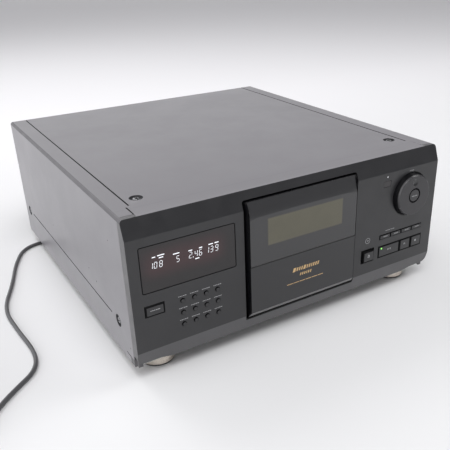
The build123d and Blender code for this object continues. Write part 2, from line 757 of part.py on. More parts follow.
def make_door_drive():
    """Pinion on the door motor's shaft, and the motor on the outside of the tunnel wall."""
    centre = door_pinion_centre()
    inner_half = door_half - door_wall
    pitch = door_pinion_teeth * door_module / 2
    with BuildPart() as pinion:
        with BuildSketch(Plane.YZ.offset(inner_half - 3.9)):
            with BuildLine():
                Polyline(*gear_points(door_pinion_teeth, door_module, pitch - 1.2, pitch + 0.85, 1.25,
                                      centre, 180 + door_pinion_angle), close=True)
            make_face()
            with Locations(centre):
                Circle(door_shaft + running, mode=Mode.SUBTRACT)
        extrude(amount=3.7)
        with BuildSketch(Plane.YZ.offset(inner_half - 0.2)):
            with Locations(centre):
                Circle(3.4)
                Circle(door_shaft + running, mode=Mode.SUBTRACT)
        extrude(amount=tunnel_x - gap - inner_half + 0.2)
    finish(pinion.part, "door_pinion")
    outside = tunnel_x + tunnel_wall
    with BuildPart() as motor:
        with BuildSketch(Plane.YZ.offset(outside)):
            with Locations(centre):
                Circle(door_motor_radius)
        extrude(amount=door_motor_length)
        with BuildSketch(Plane.YZ.offset(outside + 0.5)):
            with Locations(centre):
                Circle(door_shaft)
        extrude(amount=-(outside + 0.5 - inner_half + 4.2))
    finish(motor.part, "door_motor")


# ---- carousel ------------------------------------------------------------------------------------------------
table_shaft = 1.5
pad_circle = 160.0
hub_wall = 8.0
hub_top = 32.0


def table_pinion_centre():
    reach = (table_teeth + table_pinion_teeth) * table_module / 2 + 0.25
    angle = radians(table_pinion_angle)
    return (reach * cos(angle), carousel_y + reach * sin(angle))


def make_carousel():
    """Turntable ring with two hundred radial disc slots and a toothed rim."""
    rim_top = ring_floor + slot_depth
    under = ring_floor - ring_plate
    pitch = table_teeth * table_module / 2
    first = table_pinion_angle + 360 / table_teeth / 2
    fin_in = ring_bore + fin_start
    fin_out = ring_outer - rim_wall - slot_width
    half_in = pi * fin_in / slot_count - slot_width / 2
    half_out = pi * fin_out / slot_count - slot_width / 2
    with BuildPart() as ring:
        with BuildSketch(Plane.XZ):
            with BuildLine():
                Polyline((ring_bore, ring_bottom), (ring_bore + 8, ring_bottom), (ring_bore + 8, under),
                         (pad_circle - 6, under), (pad_circle - 6, ring_bottom), (pad_circle + 6, ring_bottom),
                         (pad_circle + 6, under), (ring_outer - 7, under), (ring_outer - 7, ring_bottom),
                         (ring_outer, ring_bottom), (ring_outer, rim_top), (ring_outer - rim_wall, rim_top),
                         (ring_outer - rim_wall, ring_floor), (ring_bore, ring_floor), close=True)
            make_face()
        revolve(axis=Axis.Z)
        # wedge ribs leave two hundred slots of one width
        with BuildSketch(Plane.XY.offset(ring_floor)):
            with PolarLocations(0, slot_count):
                Polygon((fin_in, -half_in), (fin_out, -half_out), (fin_out, half_out), (fin_in, half_in), align=None)
        extrude(amount=slot_depth)
        with BuildSketch(Plane.XY.offset(ring_bottom)):
            with BuildLine():
                Polyline(*gear_points(table_teeth, table_module, pitch - table_module * 1.2,
                                      pitch + table_module * 0.85, table_tooth, (0, 0), first), close=True)
            make_face()
            Circle(ring_outer - 3, mode=Mode.SUBTRACT)
        extrude(amount=ring_floor - ring_bottom)
    finish(ring.part.moved(Location((0, carousel_y, 0))), "carousel")


def make_carousel_hub():
    """Fixed centre ring on the pan, with four arms that end in glide pads."""
    outer = ring_bore - hub_clear
    with BuildPart() as hub:
        with BuildSketch(Plane.XY.offset(pan_top)):
            with PolarLocations(0, 4, start_angle=45):
                with Locations((pad_circle / 2, 0)):
                    Rectangle(pad_circle, 10)
            Circle(outer - hub_wall, mode=Mode.SUBTRACT)
        extrude(amount=4)
        with BuildSketch(Plane.XY.offset(pan_top)):
            Circle(outer)
            Circle(outer - hub_wall, mode=Mode.SUBTRACT)
        extrude(amount=hub_top - pan_top)
        with BuildSketch(Plane.XY.offset(pan_top)):
            with PolarLocations(pad_circle, 4, start_angle=45):
                Rectangle(10, 10)
        extrude(amount=ring_bottom - gap - pan_top)
    finish(hub.part.moved(Location((0, carousel_y, 0))), "carousel_hub")


motor_radius = 11.0
motor_height = 22.0
bracket_z = 37.0
bracket_steel = 1.5


def make_table_drive():
    """Table pinion and its motor, which hangs on a two-legged bracket in the front corner."""
    x, y = table_pinion_centre()
    pitch = table_pinion_teeth * table_module / 2
    with BuildPart() as pinion:
        with BuildSketch(Plane.XY.offset(ring_bottom + 0.5)):
            with BuildLine():
                Polyline(*gear_points(table_pinion_teeth, table_module, pitch - table_module * 1.2,
                                      pitch + table_module * 0.85, table_tooth,
                                      (x, y), 180 + table_pinion_angle), close=True)
            make_face()
        extrude(amount=ring_floor - ring_bottom)
        with BuildSketch(Plane.XY.offset(ring_bottom + 0.5)):
            with Locations((x, y)):
                Circle(5)
        extrude(amount=bracket_z - gap - ring_bottom - 0.5)
        with BuildSketch(Plane.XY.offset(ring_bottom)):
            with Locations((x, y)):
                Circle(table_shaft + running)
        extrude(amount=20, mode=Mode.SUBTRACT)
    finish(pinion.part, "table_pinion")
    along = Plane((x, y, bracket_z), x_dir=(cos(radians(table_pinion_angle)), sin(radians(table_pinion_angle)), 0))
    with BuildPart() as motor:
        with BuildSketch(along):
            with Locations((10, 0)):
                RectangleRounded(48, 46, 5)
            Circle(3, mode=Mode.SUBTRACT)
        extrude(amount=bracket_steel)
        with BuildSketch(Plane(along.origin, along.x_dir).offset(pan_top - bracket_z)):
            with Locations((28, 17), (28, -17)):
                Rectangle(6, 8)
        extrude(amount=bracket_z - pan_top)
        with BuildSketch(along.offset(bracket_steel)):
            Circle(motor_radius)
        extrude(amount=motor_height)
        with BuildSketch(along.offset(bracket_steel + 0.5)):
            Circle(table_shaft)
        extrude(amount=-(bracket_steel + bracket_z - ring_bottom))
    finish(motor.part, "table_motor")


# ---- disc mechanism in the middle -----------------------------------------------------------------------------
disc_radius = 60.0
play_z = ring_floor + disc_radius
plate_thick = 3.0
left_plate = -13.8          # outer face of the plate that carries spindle and pickup
right_plate = 10.2          # outer face of the clamp plate
plate_top = 172.0
spindle_shaft = 1.5
spindle_radius = 14.0
boss_radius = 7.4           # centres the 15 mm hole of a disc
clamp_radius = 14.0
clamp_stroke = 8.0
rod_radius = 1.5
rod_z = (-13.0, 13.0)
sled_travel = 34.0
sled_length = 12.0
sled_near = 17.5            # inner end of the sled, before the spindle's axis
block_near = 13.0           # the near block's inner face
block_thick = 4.0


def plate_points():
    """Side view of a mechanism plate: narrow foot inside the hub, wide shoulders above it."""
    wide = sled_near + sled_length + sled_travel + block_thick + 2.5
    half_view = [(40, pan_top), (40, 54), (wide, 62), (wide, 150), (48, plate_top)]
    near = [(carousel_y - y, z) for y, z in half_view]
    return near + [(carousel_y + y, z) for y, z in reversed(half_view)]


def make_mechanism_frame():
    """Two upright plates on a foot, joined over the top, with the sled rods and motor can."""
    window_length = sled_length + sled_travel
    block_far = sled_near + window_length + 0.5
    with BuildPart() as frame:
        for outside, side in ((left_plate, 1), (right_plate, -1)):
            with BuildSketch(Plane.YZ.offset(outside)):
                with BuildLine():
                    Polyline(*plate_points(), close=True)
                make_face()
                with Locations((carousel_y, play_z)):
                    Circle(spindle_shaft + 1.5 if side > 0 else 4.5, mode=Mode.SUBTRACT)
                if side > 0:
                    with Locations((carousel_y - sled_near - window_length / 2, play_z)):
                        Rectangle(window_length, 18, mode=Mode.SUBTRACT)
                with Locations((carousel_y, 142)):
                    Circle(15, mode=Mode.SUBTRACT)
            extrude(amount=side * plate_thick)
        with BuildSketch(Plane.XY.offset(pan_top)):
            with Locations(((left_plate + right_plate) / 2, carousel_y)):
                Rectangle(right_plate - left_plate + 24, 76)
        extrude(amount=3)
        with BuildSketch(Plane.XY.offset(plate_top)):
            with Locations(((left_plate + right_plate) / 2, carousel_y)):
                Rectangle(right_plate - left_plate, 60)
        extrude(amount=-3)
        # two rods carry the sled outside the left plate, held by end blocks
        for y in (carousel_y - block_near, carousel_y - block_far):
            with BuildSketch(facing(y)):
                with Locations((left_plate - 5, play_z)):
                    Rectangle(10.2, 34)
            extrude(amount=block_thick)
        with BuildSketch(facing(carousel_y - block_near - 1)):
            with Locations((left_plate - 5, play_z + rod_z[0]), (left_plate - 5, play_z + rod_z[1])):
                Circle(rod_radius)
        extrude(amount=block_far - block_near)
        # spindle motor can
        with BuildSketch(Plane.YZ.offset(left_plate)):
            with Locations((carousel_y, play_z)):
                Circle(12)
                Circle(spindle_shaft + 1.5, mode=Mode.SUBTRACT)
        extrude(amount=-9)
        with BuildSketch(Plane.YZ.offset(left_plate - 9)):
            with Locations((carousel_y, play_z)):
                Circle(12)
        extrude(amount=-3)
        with BuildSketch(Plane.YZ.offset(left_plate - 10)):
            with Locations((carousel_y, play_z)):
                Circle(spindle_shaft)
        extrude(amount=18)
    finish(frame.part, "mechanism_frame")


def make_spindle_turntable():
    """Small turntable with the boss that centres a disc."""
    seat = left_plate + plate_thick + 1.2
    with BuildPart() as table:
        with BuildSketch(Plane.YZ.offset(seat)):
            with Locations((carousel_y, play_z)):
                Circle(spindle_radius)
        extrude(amount=3)
        with BuildSketch(Plane.YZ.offset(seat + 3)):
            with Locations((carousel_y, play_z)):
                Circle(boss_radius)
        extrude(amount=4, taper=20)
        with BuildSketch(Plane.YZ.offset(seat - 1)):
            with Locations((carousel_y, play_z)):
                Circle(spindle_shaft + running)
        extrude(amount=left_plate - 10 + 18 - seat + 1 + 0.3, mode=Mode.SUBTRACT)
    finish(table.part, "spindle_turntable")


def make_clamper():
    """Clamp puck on a sliding pin through the right plate."""
    puck = right_plate - plate_thick - 0.6
    with BuildPart() as clamp:
        with BuildSketch(Plane.YZ.offset(puck)):
            with Locations((carousel_y, play_z)):
                Circle(clamp_radius)
        extrude(amount=-4)
        with BuildSketch(Plane.YZ.offset(puck)):
            with Locations((carousel_y, play_z)):
                Circle(4.5 - running)
        extrude(amount=plate_thick + 0.6 + clamp_stroke + 2)
        with BuildSketch(Plane.YZ.offset(right_plate + clamp_stroke + gap)):
            with Locations((carousel_y, play_z)):
                Circle(8)
        extrude(amount=2)
        # recess that clears the turntable's boss
        with BuildSketch(Plane.YZ.offset(puck - 4)):
            with Locations((carousel_y, play_z)):
                Circle(boss_radius + 0.6)
        extrude(amount=3.2, mode=Mode.SUBTRACT)
    finish(clamp.part, "clamper")


def make_pickup_sled():
    """Laser sled on its two rods, with the lens barrel through the plate's window."""
    sled_x = left_plate - 5
    near = carousel_y - sled_near
    with BuildPart() as sled:
        with BuildSketch(Plane.XZ.offset(-near)):
            with Locations((sled_x - 0.4, play_z)):
                Rectangle(9.2, 32)
                with Locations((0.4, rod_z[0]), (0.4, rod_z[1])):
                    Circle(rod_radius + running, mode=Mode.SUBTRACT)
        extrude(amount=sled_length)
        with BuildSketch(Plane.YZ.offset(sled_x)):
            with Locations((near - sled_length / 2, play_z)):
                Rectangle(sled_length - 1.5, 14)
        extrude(amount=5 + plate_thick + 0.6)
        with BuildSketch(Plane.YZ.offset(left_plate + plate_thick + 0.6)):
            with Locations((near - sled_length / 2, play_z)):
                Circle(3.2)
        extrude(amount=1.4)
    finish(sled.part, "pickup_sled")


def make_loading_lever():
    """Lever behind the ring that pushes a disc in to the middle."""
    with BuildPart() as lever:
        with BuildSketch(Plane.YZ.offset(-lever_half)):
            with BuildLine():
                Polyline((lever_y - 5, lever_z), (lever_y - 3, lever_z + 52), (lever_y - 7, lever_z + 60),
                         (lever_y - 2, lever_z + 64), (lever_y + 4, lever_z + 54), (lever_y + 5, lever_z), close=True)
            make_face()
            with Locations((lever_y, lever_z)):
                Circle(5)
        extrude(amount=2 * lever_half)
        with BuildSketch(Plane.YZ.offset(-lever_half - tab_gap - 2)):
            with Locations((lever_y, lever_z)):
                Circle(lever_pin)
        extrude(amount=2 * (lever_half + tab_gap + 2))
    finish(lever.part, "loading_lever")


# ---- electrics in the rear corners ------------------------------------------------------------------------------
main_board_y = 205.0
main_board_span = (62.0, 206.0, 22.0, 128.0)


def make_main_board():
    """Upright main board with its heat sink, capacitors and chips."""
    x0, x1, z0, z1 = main_board_span
    with BuildPart() as card:
        with BuildSketch(facing(main_board_y)):
            with Locations(((x0 + x1) / 2, (z0 + z1) / 2)):
                Rectangle(x1 - x0, z1 - z0)
        extrude(amount=-board_thickness)
        with BuildSketch(facing(main_board_y)):
            with Locations((108, 74), (108, 104)):
                Rectangle(20, 14)
            with Locations((140, 92)):
                Rectangle(14, 14)
        extrude(amount=2.4)
        with BuildSketch(facing(main_board_y)):
            with Locations((172, 104), (188, 104), (172, 86)):
                Circle(6.5)
        extrude(amount=16)
        with BuildSketch(facing(main_board_y)):
            with Locations((180, 50)):
                Rectangle(34, 3)
                with GridLocations(6.4, 0, 6, 1):
                    with Locations((0, 9)):
                        Rectangle(1.6, 18)
        extrude(amount=24)
        for z in (z0 + 14, z0 + 60):
            with BuildSketch(Plane.YZ.offset(x1)):
                with Locations((main_board_y, z)):
                    Rectangle(board_thickness, 10, align=(Align.MIN, Align.CENTER))
            extrude(amount=inner - x1)
    finish(card.part, "main_board")


def make_jack_block():
    """Insulating block that carries the output jacks and the optical outlet."""
    near = main_board_y + board_thickness
    with BuildPart() as block:
        with BuildSketch(facing(near)):
            with Locations((jack_x, sum(jack_z) / 2)):
                Rectangle(16, 32)
            with Locations(optical_at):
                Rectangle(optical_size[0] + 3, optical_size[1] + 3)
        extrude(amount=-(back_y - near))
        with BuildSketch(facing(back_y)):
            with Locations(*[(jack_x, z) for z in jack_z]):
                Circle(jack_hole - 0.1)
            with Locations(optical_at):
                Rectangle(*optical_size)
        extrude(amount=-(steel + 1.2))
        with BuildSketch(facing(back_y + steel + 1.2)):
            with Locations(optical_at):
                Rectangle(6, 6)
        extrude(amount=8, mode=Mode.SUBTRACT)
    finish(block.part, "jack_block")


def make_output_jacks():
    """Two metal sleeves with a centre bore; their outer wall takes a phono plug."""
    with BuildPart() as jacks:
        with BuildSketch(facing(rear_y + jack_length)):
            with Locations(*[(jack_x, z) for z in jack_z]):
                Circle(jack_radius)
        extrude(amount=rear_y + jack_length - back_y - steel - 1.2)
        with BuildSketch(facing(rear_y + jack_length)):
            with Locations(*[(jack_x, z) for z in jack_z]):
                Circle(1.7)
        extrude(amount=7.5, mode=Mode.SUBTRACT)
    finish(jacks.part, "output_jacks")


def make_transformer():
    """Mains transformer: laminated core on feet, with the coil bulging through it."""
    x, y = -184.0, 196.0
    with BuildPart() as iron:
        with BuildSketch(Plane.XY.offset(pan_top)):
            with Locations((x, y)):
                Rectangle(52, 20)
        extrude(amount=1.5)
        with BuildSketch(facing(y + 11)):
            with Locations((x, pan_top + 1.5)):
                Rectangle(46, 40, align=(Align.CENTER, Align.MIN))
        extrude(amount=22)
        with BuildSketch(Plane.XY.offset(pan_top + 8)):
            with Locations((x, y)):
                RectangleRounded(30, 38, 5)
        extrude(amount=27)
    finish(iron.part, "transformer")


# ---- feet --------------------------------------------------------------------------------------------------------
def make_feet():
    """Drum feet with a waist ring and a slightly smaller rubber base."""
    corners = {"foot_front_left": (-foot_x, foot_front_y), "foot_front_right": (foot_x, foot_front_y),
               "foot_rear_left": (-foot_x, foot_rear_y), "foot_rear_right": (foot_x, foot_rear_y)}
    for name, (x, y) in corners.items():
        with BuildPart() as foot:
            with BuildSketch(Plane.XZ):
                with BuildLine():
                    Polyline((0, foot_height), (foot_radius, foot_height), (foot_radius, foot_base),
                             (foot_radius - 1.6, foot_base), (foot_radius - 1.6, 0), (0, 0), close=True)
                make_face()
            revolve(axis=Axis.Z)
        finish(foot.part.moved(Location((x, y, 0))), name)


# ---- mains lead ----------------------------------------------------------------------------------------------------
cord_radius = 2.5
cord_sides = 8
relief_length = 25.0
cord_floor = cord_radius + 0.1                                # height of its middle where it lies
cord_out = (cord_exit[0], back_y + steel + 0.2 + relief_length, cord_exit[1])
drop = (cord_exit[1] - cord_floor) / 2 / sin(radians(60))    # side of the half hexagon behind the back
coil_lift = 0.7                                               # the tie under the coil lifts it this far
coil_heading = 230.0                                          # direction in which the lead reaches the coil
turn_step = 5.5                                               # from turn to turn and from layer to layer
turn_radii = (33.5, 30.75, 28.0, 25.25, 22.5, 25.25, 28.0, 30.75, 33.5)
climb_slope = 0.12                                            # slope in the middle of the half turn that climbs
tail = 32.0
cord_route = [
    cord_out,
    (cord_exit[0], cord_out[1] + 34, cord_exit[1]),
    (cord_exit[0], cord_out[1] + 34 + drop / 2, (cord_exit[1] + cord_floor) / 2),
    (cord_exit[0], cord_out[1] + 34, cord_floor),
    (-154, 232, cord_floor),
    (-181, 190, cord_floor),
    (-236, 189, cord_floor),
    (-262, 138, cord_floor),
    (-281, 75, cord_floor),
    (-306, 13, cord_floor),
    (-303, -45, cord_floor),
    (-296, -110, cord_floor),
    (-306, -142, cord_floor),
    (-331, -161.5, cord_floor),
    (-353.3, -183, cord_floor + coil_lift),
    (-371.9, -205.2, cord_floor + coil_lift),
]


def corner_radii(points):
    """Radius at each corner: 0.45 of the shorter run over the tangent of half the turn."""
    radii = []
    for before, at, after in zip(points, points[1:], points[2:]):
        run_in = Vector(*at) - Vector(*before)
        run_out = Vector(*after) - Vector(*at)
        half_turn = radians(run_in.get_angle(run_out)) / 2
        radii.append(0.45 * min(run_in.length, run_out.length) / tan(half_turn))
    return radii


def coil_plane():
    """Local frame of the coil: the lead runs in along +X and turns towards -Y."""
    heading = radians(coil_heading)
    last = cord_route[-1]
    ahead = (cos(heading), sin(heading), 0)
    start = (last[0] + 2 * cord_radius * ahead[0], last[1] + 2 * cord_radius * ahead[1], last[2])
    return Plane(start, x_dir=ahead, z_dir=(0, 0, 1))


def biarc(start, start_way, end, end_way):
    """Joint of two arcs that run from start to end along the given unit directions."""
    chord = end - start
    both = start_way + end_way
    spread = 1 - start_way.dot(end_way)
    along = chord.dot(both)
    reach = (-along + sqrt(along ** 2 + 2 * spread * chord.dot(chord))) / (2 * spread)
    joint = (start + end + (start_way - end_way) * reach) * 0.5
    way = (end - end_way * reach) - (start + start_way * reach)
    return joint, way.normalized()


def make_cord_relief():
    """Tapered bushing that grips the rear panel."""
    out = back_y + steel + 0.2
    with BuildPart() as relief:
        with BuildSketch(facing(out - steel - 2.2)):
            with Locations(cord_exit):
                Circle(relief_neck)
        extrude(amount=-(steel + 2.2 + 2.4))
        with BuildSketch(facing(out)):
            with Locations(cord_exit):
                Circle(relief_neck + 2)
        extrude(amount=-2.4)
        with Locations(Plane((cord_exit[0], out + 2.4, cord_exit[1]), z_dir=(0, 1, 0))):
            Cone(relief_neck, cord_radius + 0.9, relief_length - 2.4, align=(Align.CENTER, Align.CENTER, Align.MIN))
    finish(relief.part, "cord_relief")


def make_power_cord():
    """The lead's free stretch: out of the back, down, and forward along the left side."""
    radii = corner_radii(cord_route)
    print("cord radii", [round(radius, 1) for radius in radii])
    with BuildPart() as lead:
        with BuildLine() as route:
            FilletPolyline(*cord_route, radius=radii)
        with BuildSketch(Plane(cord_out, x_dir=(1, 0, 0), z_dir=(0, 1, 0))) as section:
            RegularPolygon(cord_radius, cord_sides, major_radius=False, rotation=180 / cord_sides)
        sweep(path=route.wires()[0])
    length = route.wires()[0].length
    print("cord length", round(length, 1), "volume share", round(lead.part.volume / (length * section.sketch.area), 5))
    finish(lead.part, "power_cord")


def make_cord_coil():
    """Put-away length of the lead: two layers of two turns, in and out again, as one tube."""
    local = coil_plane()
    lower, climb, upper = turn_radii[:4], turn_radii[4], turn_radii[5:]
    with BuildPart() as coil:
        with BuildLine(local) as turns:
            Line((-2 * cord_radius, 0, 0), (0, 0, 0))
            y, way = 0.0, 1
            for radius in lower:
                ThreePointArc((0, y, 0), (way * radius, y - way * radius, 0), (0, y - 2 * way * radius, 0))
                y, way = y - 2 * way * radius, -way
            # the half turn that climbs, as two biarcs
            start = local.from_local_coords(Vector(0, y, 0))
            middle = local.from_local_coords(Vector(climb, y - climb, turn_step / 2))
            end = local.from_local_coords(Vector(0, y - 2 * climb, turn_step))
            rise = (local.z_dir * climb_slope - local.y_dir).normalized()
            for a, a_way, b, b_way in ((start, local.x_dir, middle, rise), (middle, rise, end, -local.x_dir)):
                joint, joint_way = biarc(a, a_way, b, b_way)
                TangentArc(a, joint, tangent=a_way)
                TangentArc(joint, b, tangent=joint_way)
            y, way = y - 2 * climb, -way
            for radius in upper:
                ThreePointArc((0, y, turn_step), (way * radius, y - way * radius, turn_step),
                              (0, y - 2 * way * radius, turn_step))
                y, way = y - 2 * way * radius, -way
            Line((0, y, turn_step), (way * tail, y, turn_step))
        with BuildSketch(Plane(cord_route[-1], x_dir=local.y_dir, z_dir=local.x_dir)) as section:
            RegularPolygon(cord_radius, cord_sides, major_radius=False, rotation=180 / cord_sides)
        sweep(path=turns.wires()[0])
    wire = turns.wires()[0]
    count = int(wire.length / 2)
    points = [tuple(wire @ (i / count)) for i in range(count + 1)]
    apart = int(60 / 2)
    least = min(sqrt(sum((a - b) ** 2 for a, b in zip(points[i], points[j])))
                for i in range(len(points)) for j in range(i + apart, len(points)))
    print("coil length", round(wire.length, 1), "least gap to itself", round(least - 2 * cord_radius, 2),
          "volume share", round(coil.part.volume / (wire.length * section.sketch.area), 5))
    finish(coil.part, "cord_coil")


tie_thick = 0.6
tie_wide = 5.0
tie_clear = 0.3


def make_cord_tie():
    """Flat band round the bundle, in the middle of the side where the tube does not climb."""
    local = coil_plane()
    outer, inside = turn_radii[1], turn_radii[3]
    wide = outer - inside + 2 * cord_radius + 0.6 + 2 * tie_clear
    high = turn_step + 2 * (cord_floor + coil_lift - tie_thick)
    middle = -(outer + inside) / 2 + 0.25
    centre = local.from_local_coords((middle, -turn_radii[0], turn_step / 2))
    with BuildPart() as tie:
        with BuildSketch(Plane(centre, x_dir=local.x_dir, z_dir=-local.y_dir)):
            RectangleRounded(wide + 2 * tie_thick, high + 2 * tie_thick, 2.6)
            RectangleRounded(wide, high, 2.0, mode=Mode.SUBTRACT)
        extrude(amount=tie_wide / 2, both=True)
    finish(tie.part, "cord_tie")


plug_body = (24.0, 16.0, 32.0)
blade = (1.5, 6.35, 17.0)
blade_pitch = 12.7


def make_plug():
    """Two-blade mains plug that lies on its flat side beside the coil."""
    local = coil_plane()
    side = -2 * (sum(turn_radii[0::2]) - sum(turn_radii[1::2]))
    origin = local.from_local_coords((-tail, side, turn_step))
    back = Plane(origin, x_dir=-local.y_dir, z_dir=-local.x_dir)
    with BuildPart() as plug:
        with BuildSketch(back):
            Circle(4.6)
        extrude(amount=8)
        with BuildSketch(back.offset(8)):
            Circle(4.6)
        with BuildSketch(back.offset(16)):
            RectangleRounded(plug_body[0], plug_body[1], 4.5)
        loft()
        with BuildSketch(back.offset(16)):
            RectangleRounded(plug_body[0], plug_body[1], 4.5)
        extrude(amount=plug_body[2] - 16)
        with BuildSketch(back.offset(plug_body[2])):
            with GridLocations(blade_pitch, 0, 2, 1):
                Rectangle(blade[0], blade[1])
        extrude(amount=blade[2])
    finish(plug.part, "plug")


make_chassis_pan()
make_rear_panel()
make_cabinet_cover()
make_cover_screws()
make_front_panel()
pane("display_window", display_size, display_at, 2.2, 1.5, 1.8)
pane("sensor_window", sensor_size, sensor_at, 0, 1.0)
make_status_lamp()
make_display_module()
make_board("left_board", board_left, switch_places_left())
make_board("right_board", board_right,
           [*thin_places(), *[(x, play_at[1]) for x, _ in transport_places().values()], open_at], dial_at)
make_keys()
make_jog_dial()
make_enter_key()
make_door_panel()
make_door_window()
make_door_drive()
make_carousel()
make_carousel_hub()
make_table_drive()
make_mechanism_frame()
make_spindle_turntable()
make_clamper()
make_pickup_sled()
make_loading_lever()
make_main_board()
make_jack_block()
make_output_jacks()
make_transformer()
make_feet()
make_cord_relief()
make_power_cord()
make_cord_coil()
make_cord_tie()
make_plug()
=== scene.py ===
"""Looks of a 200-disc changer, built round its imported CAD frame, in metres."""
import json
from math import cos, hypot, pi, radians, sin, sqrt

import bmesh
import bpy
from mathutils import Matrix, Vector

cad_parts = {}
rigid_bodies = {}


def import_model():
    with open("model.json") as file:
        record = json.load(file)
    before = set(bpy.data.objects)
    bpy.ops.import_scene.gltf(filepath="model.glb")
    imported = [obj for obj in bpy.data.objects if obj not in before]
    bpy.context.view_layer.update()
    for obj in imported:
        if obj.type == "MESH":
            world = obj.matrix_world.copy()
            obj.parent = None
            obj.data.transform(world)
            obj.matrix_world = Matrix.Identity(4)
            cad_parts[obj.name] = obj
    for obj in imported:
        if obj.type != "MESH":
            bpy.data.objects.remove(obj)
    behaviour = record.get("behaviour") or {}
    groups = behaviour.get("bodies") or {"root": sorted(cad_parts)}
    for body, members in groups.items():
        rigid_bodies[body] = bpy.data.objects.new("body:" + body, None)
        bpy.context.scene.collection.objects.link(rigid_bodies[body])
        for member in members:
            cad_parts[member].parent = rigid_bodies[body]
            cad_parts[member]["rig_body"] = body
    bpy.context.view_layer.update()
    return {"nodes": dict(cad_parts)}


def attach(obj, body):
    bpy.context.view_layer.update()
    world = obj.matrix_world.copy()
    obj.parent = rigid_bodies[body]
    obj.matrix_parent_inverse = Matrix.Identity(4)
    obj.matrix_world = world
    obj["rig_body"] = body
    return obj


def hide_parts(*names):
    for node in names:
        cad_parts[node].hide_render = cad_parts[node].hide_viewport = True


bl_info = {
    "name": "Disc Changer Looks",
    "version": (1, 0, 0),
    "blender": (4, 5, 0),
    "location": "3D View > Sidebar > Disc Changer",
    "description": "Builds the visible pieces of a hi-fi disc changer on its CAD frame",
    "category": "Object",
}

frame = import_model()
MM = 0.001
UP = Vector((0, 0, 1))
BACK = Vector((0, 1, 0))
RIGHT = Vector((1, 0, 0))

# places repeated from the part's source, in millimetres
FRONT_Y = -226.8        # main face
EDGE_Y = -219.4         # where the upper facet meets the top
SEAM_Y = -213.0         # joint of the moulding and the cover
REAR_Y = 224.8          # outside of the rear panel
TOP_Z = 191.0
HALF = 215.0            # half of the cabinet's width
ROLL = 4.3              # reach of the cover's rolled upper edges
UPPER_Z = 170.4         # upper edge of the main face
LOWER_Z = 38.5          # lower edge of the main face
DOOR_FACE_Y = -231.5
DOOR_HALF = 77.6
DOOR_TOP = 178.9
DOOR_BEND = 162.0       # where the window starts to sweep back
DOOR_SPLIT = 102.2
VIEW_AT = (0.7, 140.4)
VIEW_SIZE = (105.6, 32.4)
GROOVE_X = 192.5        # long grooves of the cover's top
SIDE_GROOVE_Z = 56.0
SLIT_AT = (196.7, 23.25)    # slits at the cover's front corners: x on the top, z on the sides
SLIT_END_Y = -192.0
DIAL_AT = (169.2, 134.6)
DIAL_FACE_Y = -235.1
ROUND_AT = (-137.4, 72.2)
ROUND_PITCH = (14.15, 14.6)
PANE_Y = -226.7         # face of the display pane
CAP_PROUD = {"power": 1.1, "thin": 0.8, "play": 0.7, "open": 2.9}

# choices of this file, in millimetres
PRINT = 0.05            # thickness of printed marks
STRIP = (32.2, 36.0, 79.8)  # black strip under the door, painted shade: lower and upper height, half of its width
FALL_DEPTH = 22         # strip along the front of the top that falls a little
SHARP = 35              # degrees from which an edge is shaded sharp


# ---- what a user would change ----
def colour(label, value, about):
    return bpy.props.FloatVectorProperty(name=label, description=about, subtype="COLOR", size=4,
                                         default=(*value, 1.0), min=0.0, max=1.0)


def length(label, value, about):
    return bpy.props.FloatProperty(name=label, description=about, unit="LENGTH", default=value)


def turn(label, degrees, about):
    return bpy.props.FloatProperty(name=label, description=about, unit="ROTATION", default=radians(degrees))


class ChangerView(bpy.types.PropertyGroup):
    """Camera of the product picture."""
    place: bpy.props.FloatVectorProperty(name="Place", description="Where the camera stands", unit="LENGTH",
                                         default=(-0.38854, -0.74351, 0.42639))
    azimuth: turn("Azimuth", -31.97, "Turn about the vertical")
    elevation: turn("Elevation", 25.984, "Height above the horizon")
    roll: turn("Roll", -1.153, "Tilt of the horizon")
    lens: bpy.props.FloatProperty(name="Lens", description="Focal length on a 36 mm sensor", default=49.04,
                                  unit="CAMERA")
    shift: bpy.props.FloatVectorProperty(name="Shift", description="Offset of the picture's centre", size=2,
                                         default=(-0.0675, 0.0393))


class ChangerColours(bpy.types.PropertyGroup):
    """Colours of the finishes."""
    cabinet: colour("Cabinet", (0.194, 0.187, 0.202), "Satin paint of the steel cover")
    # Low facet: lighter copy of the front's charcoal, a painted reflection of the pale floor in the facet under the
    # face.
    moulding: colour("Front moulding", (0.017, 0.017, 0.019), "Satin charcoal of the front")
    low_facet: colour("Low facet", (0.092, 0.091, 0.095), "Lighter satin of the facet under the face")
    # Moulding side: lighter copy of the front's charcoal on its side and top returns and the ears, painted light from
    # the left and above.
    moulding_side: colour("Moulding side", (0.108, 0.106, 0.11), "Painted side of the front moulding")
    # Black painted shade in gaps, tunnels, grooves, slits and on the rounded edges round the key caps.
    shut: colour("Shut lines", (0.004, 0.004, 0.0045), "Black of gaps, tunnels and key sides")
    pane: colour("Display pane", (0.021, 0.019, 0.02), "Smoked pane over the display")
    glow: colour("Display glow", (0.36, 0.08, 0.1), "Afterglow behind the digits")
    digit: colour("Digits", (0.88, 0.93, 1.0), "Lit segments of the display")
    dial: colour("Dial face", (0.021, 0.02, 0.023), "Satin face of the jog dial")
    door: colour("Door", (0.03, 0.03, 0.032), "Polished charcoal of the door")
    olive: colour("Window tint", (0.09, 0.083, 0.053), "Olive tint of the door's window")
    gold: colour("Gold print", (0.66, 0.45, 0.22), "Gold rules on the door")
    print_grey: colour("Grey print", (0.36, 0.36, 0.37), "Printed marks on the front")
    foot: colour("Feet", (0.66, 0.6, 0.53), "Champagne lacquer of the feet")
    lead: colour("Mains lead", (0.085, 0.085, 0.09), "Jacket of the mains lead")
    zinc: colour("Plain steel", (0.42, 0.42, 0.4), "Zinc-plated chassis steel")
    board: colour("Circuit board", (0.03, 0.12, 0.04), "Green laminate")
    floor: colour("Floor", (0.8, 0.8, 0.81), "Pale studio floor")


